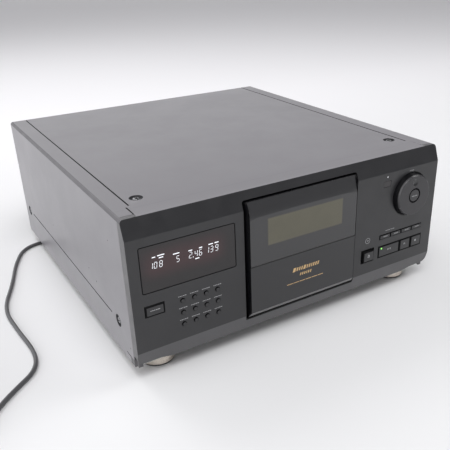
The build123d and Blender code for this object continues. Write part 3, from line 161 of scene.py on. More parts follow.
class ChangerSizes(bpy.types.PropertyGroup):
    """Small sizes that the frame leaves open."""
    edge: length("Edge radius", 0.0004, "Rounding of moulded edges")
    sheet_edge: length("Sheet edge", 0.0002, "Deburred edge of the steel sheet")
    key_edge: length("Key edge", 0.0004, "Rounding of the key caps")
    door_edge: length("Door edge", 0.0005, "Rounding of the door's edges")
    dial_edge: length("Dial edge", 0.0007, "Turned edge of the dial's face")
    front_fall: length("Front fall", 0.0003, "How far the cover's front edge is folded down")


# ---- helpers ----
def mm(x, y, z):
    return Vector((x, y, z)) * MM


def unique(items):
    """Each item once, in a steady order."""
    return list(dict.fromkeys(items))


def with_parts(faces):
    """Faces with their edges and corners."""
    return faces + unique(e for f in faces for e in f.edges) + unique(v for f in faces for v in f.verts)


def add_object(name, data):
    made = bpy.data.objects.new(name, data)
    bpy.context.scene.collection.objects.link(made)
    return made


def place_mesh(bm, name, finishes, body, replaces=(), normals=True):
    """Turn a bmesh into a finished piece that rides on a body."""
    if normals:
        bmesh.ops.recalc_face_normals(bm, faces=bm.faces)
    mesh = bpy.data.meshes.new(name)
    bm.to_mesh(mesh)
    bm.free()
    for finish in finishes:
        mesh.materials.append(MATERIALS[finish])
    mesh.shade_smooth()
    mesh.set_sharp_from_angle(angle=radians(SHARP))
    piece = add_object(name, mesh)
    piece.modifiers.new("flat_faces", "WEIGHTED_NORMAL").keep_sharp = True
    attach(piece, body)
    if replaces:
        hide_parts(*replaces)
    return piece


def merged_copy(node):
    """Bmesh of a CAD node with its loose triangles joined into flat faces."""
    bm = bmesh.new()
    bm.from_mesh(frame["nodes"][node].data)
    merge(bm)
    bmesh.ops.dissolve_limit(bm, angle_limit=radians(0.4), verts=bm.verts, edges=bm.edges,
                             use_dissolve_boundaries=False)
    return bm


def merge(bm):
    """Join the corners that lie on each other."""
    bmesh.ops.remove_doubles(bm, verts=bm.verts, dist=2e-6)
    bmesh.ops.dissolve_degenerate(bm, edges=bm.edges, dist=2e-6)


def sharp_edges(bm, least, pick=None):
    """Convex edges that turn by more than least degrees."""
    return [e for e in bm.edges if len(e.link_faces) == 2 and e.is_convex
            and e.calc_face_angle(0) > radians(least) and (pick is None or pick(e))]


def ahead_of(y):
    """Rule that picks the edges wholly in front of y."""
    return lambda edge: max(v.co.y for v in edge.verts) < y * MM


def bevel(bm, edges, offset, segments=2, clamp=False):
    bmesh.ops.bevel(bm, geom=edges, offset=offset, offset_type="OFFSET", affect="EDGES", segments=segments,
                    profile=0.5, material=-1, clamp_overlap=clamp)


def split_ngons(bm, faces):
    """Triangulate the faces with more than four corners."""
    bmesh.ops.triangulate(bm, faces=[f for f in faces if len(f.verts) > 4])


def softened(node, name, finishes, offset, segments=2, least=40, pick=None, zone=None, before=None):
    """Piece that stands for a CAD node, with its convex edges rounded and each zone in its finish."""
    bm = merged_copy(node)
    if before:
        before(bm)
    bevel(bm, sharp_edges(bm, least, pick), offset, segments, clamp=True)
    split_ngons(bm, bm.faces)
    if zone:
        bm.normal_update()
        for face in bm.faces:
            face.material_index = finishes.index(zone(face.normal, face.calc_center_median() / MM))
    return place_mesh(bm, name, finishes, frame["nodes"][node]["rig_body"], (node,), normals=False)


def cap_zone(face, side):
    """Zone rule of a cap: one finish on its face and one round it."""
    return lambda normal, at: face if normal.y < -0.97 else side


def box(bm, low, high, index=0):
    """Box between two corners, in millimetres."""
    size = Vector(high) - Vector(low)
    middle = (Vector(high) + Vector(low)) / 2
    made = bmesh.ops.create_cube(
        bm, size=1.0, matrix=Matrix.Translation(middle * MM) @ Matrix.Diagonal((*(size * MM), 1)))
    for vert in made["verts"]:
        for face in vert.link_faces:
            face.material_index = index
    return made["verts"]


def lathe(bm, profile, at, axis=BACK, across=RIGHT, steps=48, index=0):
    """Closed solid of revolution from (radius, distance along the axis) pairs, in millimetres."""
    at, axis, across = Vector(at) * MM, Vector(axis).normalized(), Vector(across).normalized()
    verts = [bm.verts.new(at + across * (r * MM) + axis * (h * MM)) for r, h in profile]
    edges = [bm.edges.new(pair) for pair in zip(verts, verts[1:])]
    before = set(bm.faces)
    bmesh.ops.spin(bm, geom=verts + edges, cent=at, axis=axis, angle=2 * pi, steps=steps, use_merge=True)
    spun = unique(v for f in bm.faces if f not in before for v in f.verts)
    bmesh.ops.remove_doubles(bm, verts=spun, dist=1e-6)
    for face in bm.faces:
        if face not in before:
            face.material_index = index


def plate(bm, outline, y, thickness=PRINT):
    """Thin plate that faces the front: outline in (x, z), from y back by thickness, in millimetres."""
    face = bm.faces.new([bm.verts.new(mm(x, y, z)) for x, z in outline])
    grown = bmesh.ops.extrude_face_region(bm, geom=[face])
    verts = [v for v in grown["geom"] if isinstance(v, bmesh.types.BMVert)]
    bmesh.ops.translate(bm, vec=mm(0, thickness, 0), verts=verts)


def rule(bm, at, width, height, y, thickness=PRINT, lean=0.0):
    """Printed bar round a middle (x, z)."""
    x, z = at
    a, b, s = width / 2, height / 2, lean * height / 2
    plate(bm, ((x - a - s, z - b), (x + a - s, z - b), (x + a + s, z + b), (x - a + s, z + b)), y, thickness)


def legend(bm, at, width, height, y):
    """Row of short printed bars."""
    shares = (0.0, 0.13, 0.18, 0.34, 0.39, 0.5, 0.56, 0.74, 0.79, 1.0)
    for start, end in zip(shares[::2], shares[1::2]):
        middle = at[0] + width * ((start + end) / 2 - 0.5)
        rule(bm, (middle, at[1]), width * (end - start), height, y)


def ring(bm, at, inner, outer, y):
    """Printed ring that faces the front."""
    lathe(bm, ((inner, 0), (outer, 0), (outer, PRINT), (inner, PRINT), (inner, 0)), (at[0], y, at[1]), steps=32)


# ---- materials ----
def scaled(tint, factor):
    return (*[min(1.0, v * factor) for v in tint[:3]], 1.0)


class Nodes:
    """Short ways to grow a shader tree on one kind of coordinates."""

    def __init__(self, tree, coordinates):
        self.tree = tree
        self.place = self.node("ShaderNodeTexCoord").outputs[coordinates]

    def node(self, kind, **settings):
        made = self.tree.nodes.new(kind)
        for key, value in settings.items():
            setattr(made, key, value)
        return made

    def link(self, out, into):
        self.tree.links.new(out, into)
        return self

    def feed(self, sockets, sources):
        """Give each socket its link or its plain value."""
        for socket, source in zip(sockets, sources):
            if isinstance(source, bpy.types.NodeSocket):
                self.link(source, socket)
            else:
                socket.default_value = source

    def axis(self, name):
        if not hasattr(self, "split"):
            self.split = self.node("ShaderNodeSeparateXYZ")
            self.link(self.place, self.split.inputs[0])
        return self.split.outputs[name]

    def math(self, kind, first, second=0.0):
        made = self.node("ShaderNodeMath", operation=kind)
        self.feed(made.inputs, (first, second))
        return made.outputs[0]

    def ramp(self, value, low, high, from_low=0.3, from_high=0.7, kind="SMOOTHSTEP"):
        made = self.node("ShaderNodeMapRange", interpolation_type=kind)
        names = ("Value", "From Min", "From Max", "To Min", "To Max")
        self.feed([made.inputs[name] for name in names], (value, from_low, from_high, low, high))
        return made.outputs["Result"]


class Finish(Nodes):
    """Procedural material on Object coordinates."""

    def __init__(self, name, base, roughness=0.5, metallic=0.0, specular=0.5, coat=0.0, coat_roughness=0.1):
        self.material = bpy.data.materials.new(name)
        self.material.use_nodes = True
        super().__init__(self.material.node_tree, "Object")
        self.shader = self.tree.nodes["Principled BSDF"]
        self.base = (*base[:3], 1.0)
        names = ("Base Color", "Roughness", "Metallic", "Specular IOR Level", "Coat Weight", "Coat Roughness")
        self.feed([self.shader.inputs[name] for name in names],
                  (self.base, roughness, metallic, specular, coat, coat_roughness))

    def noise(self, scale, detail=3.0, rough=0.55, stretch=None):
        made = self.node("ShaderNodeTexNoise")
        source = self.place
        if stretch:
            turned = self.node("ShaderNodeMapping")
            turned.inputs["Scale"].default_value = stretch
            self.link(source, turned.inputs["Vector"])
            source = turned.outputs["Vector"]
        self.feed([made.inputs[name] for name in ("Vector", "Scale", "Detail", "Roughness")],
                  (source, scale, detail, rough))
        return made.outputs["Fac"]

    def band(self, name, middle, half, soft):
        """One inside middle +- half (metres) along an axis, falling to nothing over soft."""
        away = self.math("ABSOLUTE", self.math("SUBTRACT", self.axis(name), middle))
        return self.ramp(away, 1.0, 0.0, half - soft / 2, half + soft / 2)

    def patch(self, names, low, high, soft=0.4 * MM):
        """One between two corners given along one to three axes, in millimetres."""
        inside = 1.0
        for name, start, end in zip(names, low, high):
            band = self.band(name, (start + end) / 2 * MM, (end - start) / 2 * MM, soft)
            inside = self.math("MULTIPLY", band, inside)
        return inside

    def mix(self, amount, first, second):
        made = self.node("ShaderNodeMix", data_type="RGBA")
        self.feed([made.inputs[number] for number in (0, 6, 7)], (amount, first, second))
        return made.outputs[2]

    def paint(self, colour_out):
        return self.link(colour_out, self.shader.inputs["Base Color"])

    def over(self, amount, factor):
        """Lay a darker shade over the paint where amount is one."""
        paint = self.shader.inputs["Base Color"].links[0].from_socket
        return self.paint(self.mix(amount, paint, self.shade(factor)))

    def shade(self, factor):
        return scaled(self.base, factor)

    def tone(self, amount, value, spread=(0.35, 0.65)):
        """Base colour that wanders a little between two shades."""
        share = self.ramp(value, 0.0, 1.0, *spread)
        return self.paint(self.mix(share, self.shade(1 - amount), self.shade(1 + amount)))

    def gloss(self, value, low, high, spread=(0.3, 0.7)):
        return self.link(self.ramp(value, low, high, *spread), self.shader.inputs["Roughness"])

    def bump(self, value, strength, distance):
        made = self.node("ShaderNodeBump")
        self.feed([made.inputs[name] for name in ("Strength", "Distance", "Height")], (strength, distance, value))
        return self.link(made.outputs["Normal"], self.shader.inputs["Normal"])

    def light(self, tint, strength, amount=None):
        self.shader.inputs["Emission Color"].default_value = (*tint[:3], 1.0)
        self.shader.inputs["Emission Strength"].default_value = strength
        if amount:
            self.link(self.math("MULTIPLY", amount, strength), self.shader.inputs["Emission Strength"])
        return self


def grained(name, base, roughness, grain=1500.0, depth=0.00003, tone=0.05, spread=0.05, **more):
    """Moulded or painted finish: fine grain, slow change of shade and gloss."""
    made = Finish(name, base, roughness, **more)
    made.tone(tone, made.noise(9.0, 4.0))
    made.gloss(made.noise(60.0, 3.0), roughness - spread, roughness + spread)
    if grain:
        made.bump(made.noise(grain, 2.0), 0.35, depth)
    return made


COVER_LINES = (         # painted shade along lines of the top: x from and to, y from and to, share of the paint's shade
    (-197.6, -195.9, SEAM_Y, -192.4, 0.05),                     # left slit
    (GROOVE_X - 0.9, GROOVE_X + 0.9, -188.7, 222.6, 0.3),       # right groove
    (-GROOVE_X - 0.9, -GROOVE_X + 0.9, -188.7, 222.6, 0.3),     # left groove
    (-213.5, -197.0, -214.0, -211.9, 0.3),                      # seam at the left corner
)


def cover_finish(base):
    """Satin stoving paint with painted shade along the front crease, the grooves, the left slit and the left corner's
    seam; faint smears and a few hairline scratches.
    """
    made = Finish("satin_steel_paint", base, 0.32, specular=1.0)
    slow = made.ramp(made.noise(3.2, 3.0, 0.45), 0.0, 1.0)
    # Painted shade along the fold where the front strip of the top falls.
    crease = made.math("MULTIPLY", made.band("Y", (EDGE_Y + FALL_DEPTH) * MM, 0.0002, 0.0008),
                       made.ramp(made.axis("Z"), 0.0, 1.0, (TOP_Z - 0.6) * MM, (TOP_Z - 0.4) * MM))
    made.paint(made.mix(slow, made.shade(0.965), made.shade(1.035)))
    made.over(crease, 0.72)
    for x0, x1, y0, y1, factor in COVER_LINES:
        made.over(made.patch("XYZ", (x0, y0, TOP_Z - 1), (x1, y1, TOP_Z + 1)), factor)
    hair = made.noise(95.0, 2.0, 0.5, stretch=(0.12, 1.0, 1.0))
    scratch = made.math("MULTIPLY", made.ramp(hair, 0.0, 1.0, 0.71, 0.76), -0.03)
    smear = made.ramp(made.noise(16.0, 4.0, 0.6), 0.29, 0.35)
    made.link(made.math("ADD", smear, scratch), made.shader.inputs["Roughness"])
    return made.bump(made.noise(2400.0, 2.0), 0.25, 0.00002)


def metal_finish(name, base, roughness=0.36):
    """Rolled or drawn metal with fine streaks."""
    made = Finish(name, base, roughness, metallic=1.0)
    streak = made.noise(240.0, 3.0, 0.6, stretch=(0.08, 1.0, 1.0))
    made.tone(0.08, made.noise(14.0, 4.0))
    made.gloss(streak, roughness - 0.07, roughness + 0.1)
    return made.bump(streak, 0.15, 0.00003)


def foot_finish(base):
    """Champagne lacquer over fine turned rings."""
    made = Finish("champagne_lacquer", base, 0.26, metallic=0.8)
    made.tone(0.07, made.noise(60.0, 3.0))
    made.gloss(made.noise(300.0, 2.0, 0.5, stretch=(0.05, 0.05, 4.0)), 0.2, 0.32)
    return made.bump(made.noise(900.0, 2.0, 0.5, stretch=(0.02, 0.02, 1.0)), 0.2, 0.00003)


def door_finish(base):
    """Polished charcoal, black where the window's edge meets it."""
    made = Finish("door_charcoal", base, 0.28)
    made.tone(0.02, made.noise(9.0, 4.0))
    return made.over(made.patch("Z", (DOOR_SPLIT - 0.9,), (DOOR_SPLIT + 1,)), 0.1)


def window_finish(base, olive):
    """Smoked acrylic with a clear olive field behind a soft-edged mask."""
    made = Finish("smoked_acrylic", base, 0.2, specular=0.55, coat=0.3, coat_roughness=0.08)
    field = made.math("MULTIPLY", made.band("X", VIEW_AT[0] * MM, VIEW_SIZE[0] / 2 * MM, 0.0022),
                      made.band("Z", VIEW_AT[1] * MM, VIEW_SIZE[1] / 2 * MM, 0.0022))
    weave = made.ramp(made.noise(900.0, 2.0), 0.93, 1.07)
    tint = made.mix(made.ramp(made.noise(30.0, 3.0), 0.0, 1.0), scaled(olive, 0.95), scaled(olive, 1.05))
    dark = made.mix(made.ramp(made.noise(12.0, 3.0), 0.0, 1.0), made.shade(0.96), made.shade(1.04))
    made.paint(made.mix(made.math("MULTIPLY", field, weave), dark, tint))
    made.over(made.patch("Z", (DOOR_SPLIT - 1,), (DOOR_SPLIT + 0.9,)), 0.1)
    return made.gloss(made.noise(40.0, 3.0), 0.17, 0.24)


def pane_finish(base, glow):
    """Smoked pane with the warm afterglow of the digits behind it."""
    made = grained("smoked_pane", base, 0.2, None, tone=0.05, spread=0.03, specular=0.5)
    row = made.math("MULTIPLY", made.band("Z", 0.1385, 0.0125, 0.02), made.band("X", -0.152, 0.044, 0.024))
    patches = made.ramp(made.noise(25.0, 2.0), 0.8, 1.0)
    return made.light(glow, 0.085, made.math("MULTIPLY", row, patches))


MATERIALS = {}
NO_GRAIN = {"grain": None, "tone": 0.05, "spread": 0.03}


def make_materials(c):
    """Every finish of the object, by name."""
    made = {
        "cover": cover_finish(c.cabinet),
        "moulding": grained("charcoal_moulding", c.moulding, 0.38, 2200.0, 0.000015, specular=0.66),
        "low_facet": grained("low_facet", c.low_facet, 0.36, 2200.0, 0.000015, 0.04),
        # Lighter grey on the slope at the door's foot: painted reflection of the floor.
        "door_foot": grained("door_foot", (0.17, 0.168, 0.172), 0.36, 2200.0, 0.000015, 0.04),
        "moulding_side": grained("moulding_side", c.moulding_side, 0.42, 2200.0, tone=0.04),
        # Darker copy of the cabinet's paint on the rolled edges: painted shade.
        "shoulder": grained("rolled_shoulder", scaled(c.cabinet, 0.5), 0.4, 2400.0, 0.00002, specular=0.35),
        "shut": grained("gap_shade_black", c.shut, 0.5, 900.0, tone=0.1, specular=0.1),
        # Polished black of the dial's skirt and the door's sides, also black painted shade round the enter key and on
        # the window's edges.
        "skirt": grained("polished_black_and_gap_shade", (0.004, 0.004, 0.005), 0.3, None, tone=0.1, spread=0.04, specular=0.1),
        "pane": pane_finish(c.pane, c.glow),
        "glass": grained("display_glass", (0.03, 0.034, 0.036), 0.15, None, tone=0.08, coat=0.5),
        "digit": grained("lit_segment", (0.7, 0.7, 0.72), 0.5, 2000.0, 0.00001, 0.03).light(c.digit, 0.6),
        "green": grained("green_lamp", (0.1, 0.5, 0.06), 0.3, 2000.0, 0.00001, 0.03).light((0.3, 1.0, 0.12), 1.6),
        "lens": grained("lamp_lens", (0.55, 0.56, 0.58), 0.25, 2000.0, 0.00001, 0.03).light((0.9, 0.95, 1), 0.12),
        "sensor": grained("sensor_pane", (0.028, 0.026, 0.028), 0.2, **NO_GRAIN),
        "dial": grained("dial_face", c.dial, 0.33, 1500.0, 0.000012, specular=0.6),
        # Lighter and glossier than the face: the rim chamfer's colour is partly a painted highlight.
        "dial_rim": grained("dial_rim", (0.045, 0.044, 0.047), 0.25, **NO_GRAIN, specular=0.7),
        # Darker than the face: painted shade in the finger dimple.
        "dimple": grained("dial_dimple", (0.013, 0.013, 0.014), 0.3, **NO_GRAIN, specular=0.8),
        "door": door_finish(c.door),
        "window": window_finish(c.door, c.olive),
        "gold": grained("gold_print", c.gold, 0.4, 3000.0, 0.00001, 0.08, metallic=0.3),
        "print": grained("grey_print", c.print_grey, 0.5, 3000.0, 0.00001, 0.06),
        "screw": metal_finish("screw_steel", (0.24, 0.24, 0.25), 0.24),
        # Painted shade in the pressed dishes round the screws.
        "dish": grained("dish_dark", (0.02, 0.02, 0.022), 0.6, 900.0, tone=0.1, specular=0.12),
        # Near black painted shade in the screws' cross recesses.
        "recess": grained("screw_recess", (0.01, 0.01, 0.01), 0.5, 900.0, tone=0.1, specular=0.2),
        "foot": foot_finish(c.foot),
        "rubber": grained("rubber", (0.03, 0.029, 0.028), 0.6, 800.0, 0.00005, 0.1),
        "zinc": metal_finish("zinc_plate", c.zinc),
        "rear": grained("rear_paint", (0.03, 0.03, 0.032), 0.45, 2400.0, tone=0.06),
        "black": grained("black_moulding", (0.02, 0.02, 0.021), 0.45, 900.0, tone=0.1),
        "tray": grained("tray_plastic", (0.05, 0.05, 0.055), 0.4, 700.0, tone=0.08),
        "white": grained("white_acetal", (0.68, 0.66, 0.6), 0.4, 700.0, 0.00002),
        "red": grained("red_insulator", (0.55, 0.02, 0.02), 0.35, 700.0, 0.00002),
        "board": grained("board_green", c.board, 0.35, 500.0, tone=0.25),
        "can": metal_finish("motor_can", (0.5, 0.5, 0.5), 0.28),
        "nickel": metal_finish("nickel", (0.66, 0.62, 0.54), 0.2),
        "iron": grained("laminations", (0.09, 0.085, 0.08), 0.5, 400.0, 0.0001, 0.2, metallic=0.6),
        "lead": grained("lead_jacket", c.lead, 0.42, 600.0, 0.00002, 0.08),
        "tie": grained("tie_black", (0.03, 0.03, 0.03), 0.4, 600.0, 0.00002, 0.08),
    }
    MATERIALS.update({key: finish.material for key, finish in made.items()})


class CHANGER_OT_finishes(bpy.types.Operator):
    """Make every finish"""
    bl_idname = "changer.finishes"
    bl_label = "Finishes"

    def execute(self, context):
        make_materials(context.scene.changer_colours)
        return {"FINISHED"}


# ---- mains lead ----
LEAD_RADIUS = 0.0025
LEAD_ROUTE = [          # repeated from the part's source
    (-150, 249.8, 64), (-150, 283.8, 64), (-150, 301.53, 33.3), (-150, 283.8, 2.6), (-154, 232, 2.6),
    (-181, 190, 2.6), (-236, 189, 2.6), (-262, 138, 2.6), (-281, 75, 2.6), (-306, 13, 2.6), (-303, -45, 2.6),
    (-296, -110, 2.6), (-306, -142, 2.6), (-331, -161.5, 2.6), (-353.3, -183, 3.3), (-371.9, -205.2, 3.3),
]
COIL_HEADING = radians(230)
COIL_AHEAD = Vector((cos(COIL_HEADING), sin(COIL_HEADING), 0))
COIL_ASIDE = UP.cross(COIL_AHEAD)
COIL_RADII = (33.5, 30.75, 28.0, 25.25, 22.5, 25.25, 28.0, 30.75, 33.5)
COIL_STEP = 5.5
COIL_TAIL = 32.0
COIL_POINTS = 6         # control points in each half turn


def coil_place(x, y, z=0.0):
    """Point of the coil's own frame, in the object's frame."""
    start = Vector(LEAD_ROUTE[-1]) + 5 * COIL_AHEAD
    return start + COIL_AHEAD * x + COIL_ASIDE * y + UP * z


def coil_turns():
    """Control points of the tied turns: flat half turns, one that climbs, and half turns on top."""
    points, y, way, height = [], 0.0, 1, 0.0
    swell = 1 / (0.75 + 0.25 * cos(pi / COIL_POINTS))
    for radius in COIL_RADII:
        climb = COIL_STEP if radius == min(COIL_RADII) else 0.0
        centre = y - way * radius
        for i in range(COIL_POINTS):
            share = (i + 0.5) / COIL_POINTS
            angle = pi * (0.5 - share) if way > 0 else pi * (-0.5 - share)
            points.append(coil_place(radius * swell * cos(angle), centre + radius * swell * sin(angle),
                                     height + climb * share))
        y, way, height = y - 2 * way * radius, -way, height + climb
    points.append(coil_place(way * COIL_TAIL / 2, y, height))
    points.append(coil_place(way * COIL_TAIL, y, height))
    return points


def set_on_coil(bm, place, *axes):
    """Turn a bmesh to three axes and move it to a place of the coil."""
    turned = Matrix(axes).transposed().to_4x4()
    bm.transform(Matrix.Translation(coil_place(*place) * MM) @ turned)


class CHANGER_OT_lead(bpy.types.Operator):
    """Make the mains lead with its relief, tie and plug"""
    bl_idname = "changer.lead"
    bl_label = "Mains lead"

    def execute(self, context):
        points = [Vector(p) for p in LEAD_ROUTE] + coil_turns()
        curve = bpy.data.curves.new("mains_lead", "CURVE")
        curve.dimensions = "3D"
        spline = curve.splines.new("NURBS")
        spline.points.add(len(points) - 1)
        for target, point in zip(spline.points, points):
            target.co = (*(point * MM), 1.0)
        spline.order_u = 3
        spline.use_endpoint_u = True
        curve.resolution_u = 8
        curve.bevel_depth = LEAD_RADIUS
        curve.bevel_resolution = 4
        curve.use_fill_caps = True
        curve.materials.append(MATERIALS["lead"])
        lead = add_object("mains_lead", curve)
        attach(lead, "cabinet")
        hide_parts("power_cord", "cord_coil")
        relief, tie, plug = self.relief(), self.tie(), self.plug()
        return {"FINISHED"}

    def relief(self):
        """Ribbed, tapered bushing in the rear panel."""
        bm = bmesh.new()
        profile = [(0, -5.6), (5.0, -5.6), (5.0, -1.2), (5.0, 0.0), (6.6, 0.0), (7.0, 0.4), (7.0, 2.0), (6.6, 2.4)]
        for rib in range(6):
            start, size = 2.4 + rib * 3.7, 5.0 - rib * 0.27
            profile += [(size, start), (size - 0.15, start + 2.4), (size - 0.9, start + 2.7),
                        (size - 0.95, start + 3.4)]
        profile += [(3.4, 24.6), (3.1, 25.0), (0, 25.0)]
        lathe(bm, profile, (LEAD_ROUTE[0][0], REAR_Y, LEAD_ROUTE[0][2]), steps=28)
        return place_mesh(bm, "lead_relief", ["rubber"], "cabinet", ("cord_relief",))

    def tie(self):
        """Flat band round the bundle of turns."""
        outer, inner = COIL_RADII[1], COIL_RADII[3]
        wide, high = outer - inner + 6.2, COIL_STEP + 5.4
        middle = -(outer + inner) / 2 + 0.25
        bm = bmesh.new()
        box(bm, (-wide / 2, -2.5, -high / 2), (wide / 2, 2.5, high / 2))
        bmesh.ops.delete(bm, geom=[f for f in bm.faces if abs(f.normal.y) > 0.5], context="FACES_ONLY")
        corners = [e for e in bm.edges if abs((e.verts[0].co - e.verts[1].co).normalized().y) > 0.9]
        bevel(bm, corners, 2.2 * MM, 4)
        bmesh.ops.solidify(bm, geom=bm.faces[:], thickness=-0.6 * MM)
        set_on_coil(bm, (middle, -COIL_RADII[0], COIL_STEP / 2), COIL_AHEAD, COIL_ASIDE, UP)
        return place_mesh(bm, "lead_tie", ["tie"], "cabinet", ("cord_tie",))

    def plug(self):
        """Moulded two-blade plug with grip ribs."""
        bm = bmesh.new()
        back = [(4.6, 4.6, 0), (4.6, 4.6, 7.5), (6.5, 6.0, 10), (10.2, 7.3, 13), (11.8, 7.9, 16)]
        for rib in range(4):
            z = 17.4 + rib * 2.6
            back += [(12, 8, z), (12, 8, z + 1.3), (11.4, 7.5, z + 1.6), (11.4, 7.5, z + 2.3)]
        back += [(12, 8, 28), (12, 8, 31.2), (11.5, 7.5, 32)]
        corners, rings = 32, []
        for a, b, h in back:
            square = max(0.0, min(1.0, (h - 7.5) / 8.5))
            power = 1.0 - 0.45 * square
            loop = []
            for i in range(corners):
                t = 2 * pi * (i + 0.5) / corners
                x = a * (abs(cos(t)) ** power) * (1 if cos(t) > 0 else -1)
                y = b * (abs(sin(t)) ** power) * (1 if sin(t) > 0 else -1)
                loop.append(bm.verts.new(Vector((x, y, h)) * MM))
            rings.append([bm.edges.new((loop[i - 1], loop[i])) for i in range(corners)])
        for first, second in zip(rings, rings[1:]):
            bmesh.ops.bridge_loops(bm, edges=first + second)
        bmesh.ops.holes_fill(bm, edges=rings[0] + rings[-1], sides=0)
        for side in (-6.35, 6.35):
            verts = box(bm, (side - 0.75, -3.175, 32), (side + 0.75, 3.175, 49), 1)
            bevel(bm, unique(e for v in verts for e in v.link_edges), 0.3 * MM)
        side = -2 * (sum(COIL_RADII[0::2]) - sum(COIL_RADII[1::2]))
        set_on_coil(bm, (-COIL_TAIL, side, COIL_STEP), -COIL_ASIDE, UP, -COIL_AHEAD)
        return place_mesh(bm, "lead_plug", ["rubber", "nickel"], "cabinet", ("plug",))


# ---- stage ----
SOFT_BOXES = (("front_softbox", (-0.3, -1.2, 2.2), 27.5), ("right_softbox", (1.6, -0.5, 1.8), 17.5),
              ("rear_softbox", (-0.4, 1.6, 1.9), 18.0))
LAMP_TARGET = Vector((0.0, 0.0, 0.05))


class CHANGER_OT_stage(bpy.types.Operator):
    """Make the floor, the lights and the camera"""
    bl_idname = "changer.stage"
    bl_label = "Studio"

    def execute(self, context):
        scene, view = context.scene, context.scene.changer_view
        camera = bpy.data.cameras.new("product_camera")
        camera.lens, camera.sensor_width, camera.sensor_fit = view.lens, 36.0, "HORIZONTAL"
        camera.shift_x, camera.shift_y = view.shift
        camera.clip_start = 0.01
        scene.camera = add_object("product_camera", camera)
        scene.camera.matrix_world = (
            Matrix.Translation(view.place) @ Matrix.Rotation(view.azimuth, 4, "Z")
            @ Matrix.Rotation(pi / 2 - view.elevation, 4, "X") @ Matrix.Rotation(view.roll, 4, "Z"))
        scene.view_settings.view_transform = "Standard"
        self.floor(scene.changer_colours.floor)
        for name, place, power in SOFT_BOXES:
            self.lamp(name, Vector(place), power)
        self.world(scene)
        return {"FINISHED"}

    def floor(self, tint):
        bm = bmesh.new()
        bmesh.ops.create_grid(bm, x_segments=1, y_segments=1, size=6.0)
        mesh = bpy.data.meshes.new("studio_floor")
        bm.to_mesh(mesh)
        bm.free()
        made = Finish("studio_floor", tint, 0.6, specular=0.2)
        paper = made.mix(made.ramp(made.noise(2.0, 3.0), 0.0, 1.0), made.shade(0.99), made.shade(1.01))
        # Floor paint grows lighter towards the back: painted light.
        made.paint(made.mix(made.ramp(made.axis("Y"), 0.0, 1.0, 0.1, 1.0), paper, (0.95, 0.94, 0.96, 1)))
        mesh.materials.append(made.material)
        add_object("studio_floor", mesh)

    def lamp(self, name, place, power):
        data = bpy.data.lights.new(name, "AREA")
        data.shape, data.size, data.energy = "DISK", 1.4, power
        lamp = add_object(name, data)
        lamp.location = place
        lamp.rotation_euler = (LAMP_TARGET - place).to_track_quat("-Z", "Y").to_euler()

    def world(self, scene):
        """Bright wall on the left, pale backdrop low behind, dimmer room in front."""
        scene.world = bpy.data.worlds.new("studio_world")
        scene.world.use_nodes = True
        room = Nodes(scene.world.node_tree, "Generated")
        background = room.tree.nodes["Background"]
        background.inputs["Color"].default_value = (0.98, 0.98, 1.0, 1)

        def glow(axis, start, end, top):
            return room.ramp(room.axis(axis), 0.0, top, start, end, "LINEAR")

        wall = glow("X", 0.0, -1.0, 1.66)
        backdrop = room.math("MULTIPLY", glow("Y", 0.3, 0.9, 0.8), glow("Z", 0.5, 0.3, 1.0))
        front = room.math("MULTIPLY", glow("Y", -0.2, -0.8, 0.25), glow("X", -0.3, 0.4, 1.0))
        total = room.math("ADD", room.math("ADD", wall, backdrop), room.math("ADD", front, 0.04))
        room.link(total, background.inputs["Strength"])


# ---- steel cover, screws and feet ----
DISH_DEPTH = 1.5
DISH_REACH = 7.6        # radius inside which a pressed dish is painted dark as its shade
LINE_DEPTH = 1.2        # how far below the sheet's surface a groove or slit is painted black as its shade
GROOVE_HALF, SLIT_HALF = 0.85, 0.6
DISHES = ([((side * 178.0, -172.9, TOP_Z - DISH_DEPTH), UP) for side in (-1, 1)]
          + [((side * (HALF - DISH_DEPTH), y, 55.4), RIGHT * side) for side in (-1, 1) for y in (201.6, -177.0)])
REAR_SCREWS = [((x, REAR_Y, 176.0), BACK) for x in (-190, -65, 65, 190)]
FEET = {"front_left": (-179.0, -189.4), "front_right": (179.0, -189.4), "rear_left": (-179.0, 148.0),
        "rear_right": (179.0, 148.0)}


def on_shoulder(normal, at):
    """Whether a face lies on the rolled edge between the top and a side."""
    return (abs(at.x) > HALF - ROLL and at.z > TOP_Z - ROLL and abs(normal.x) > 0.12 and normal.z > 0.12)


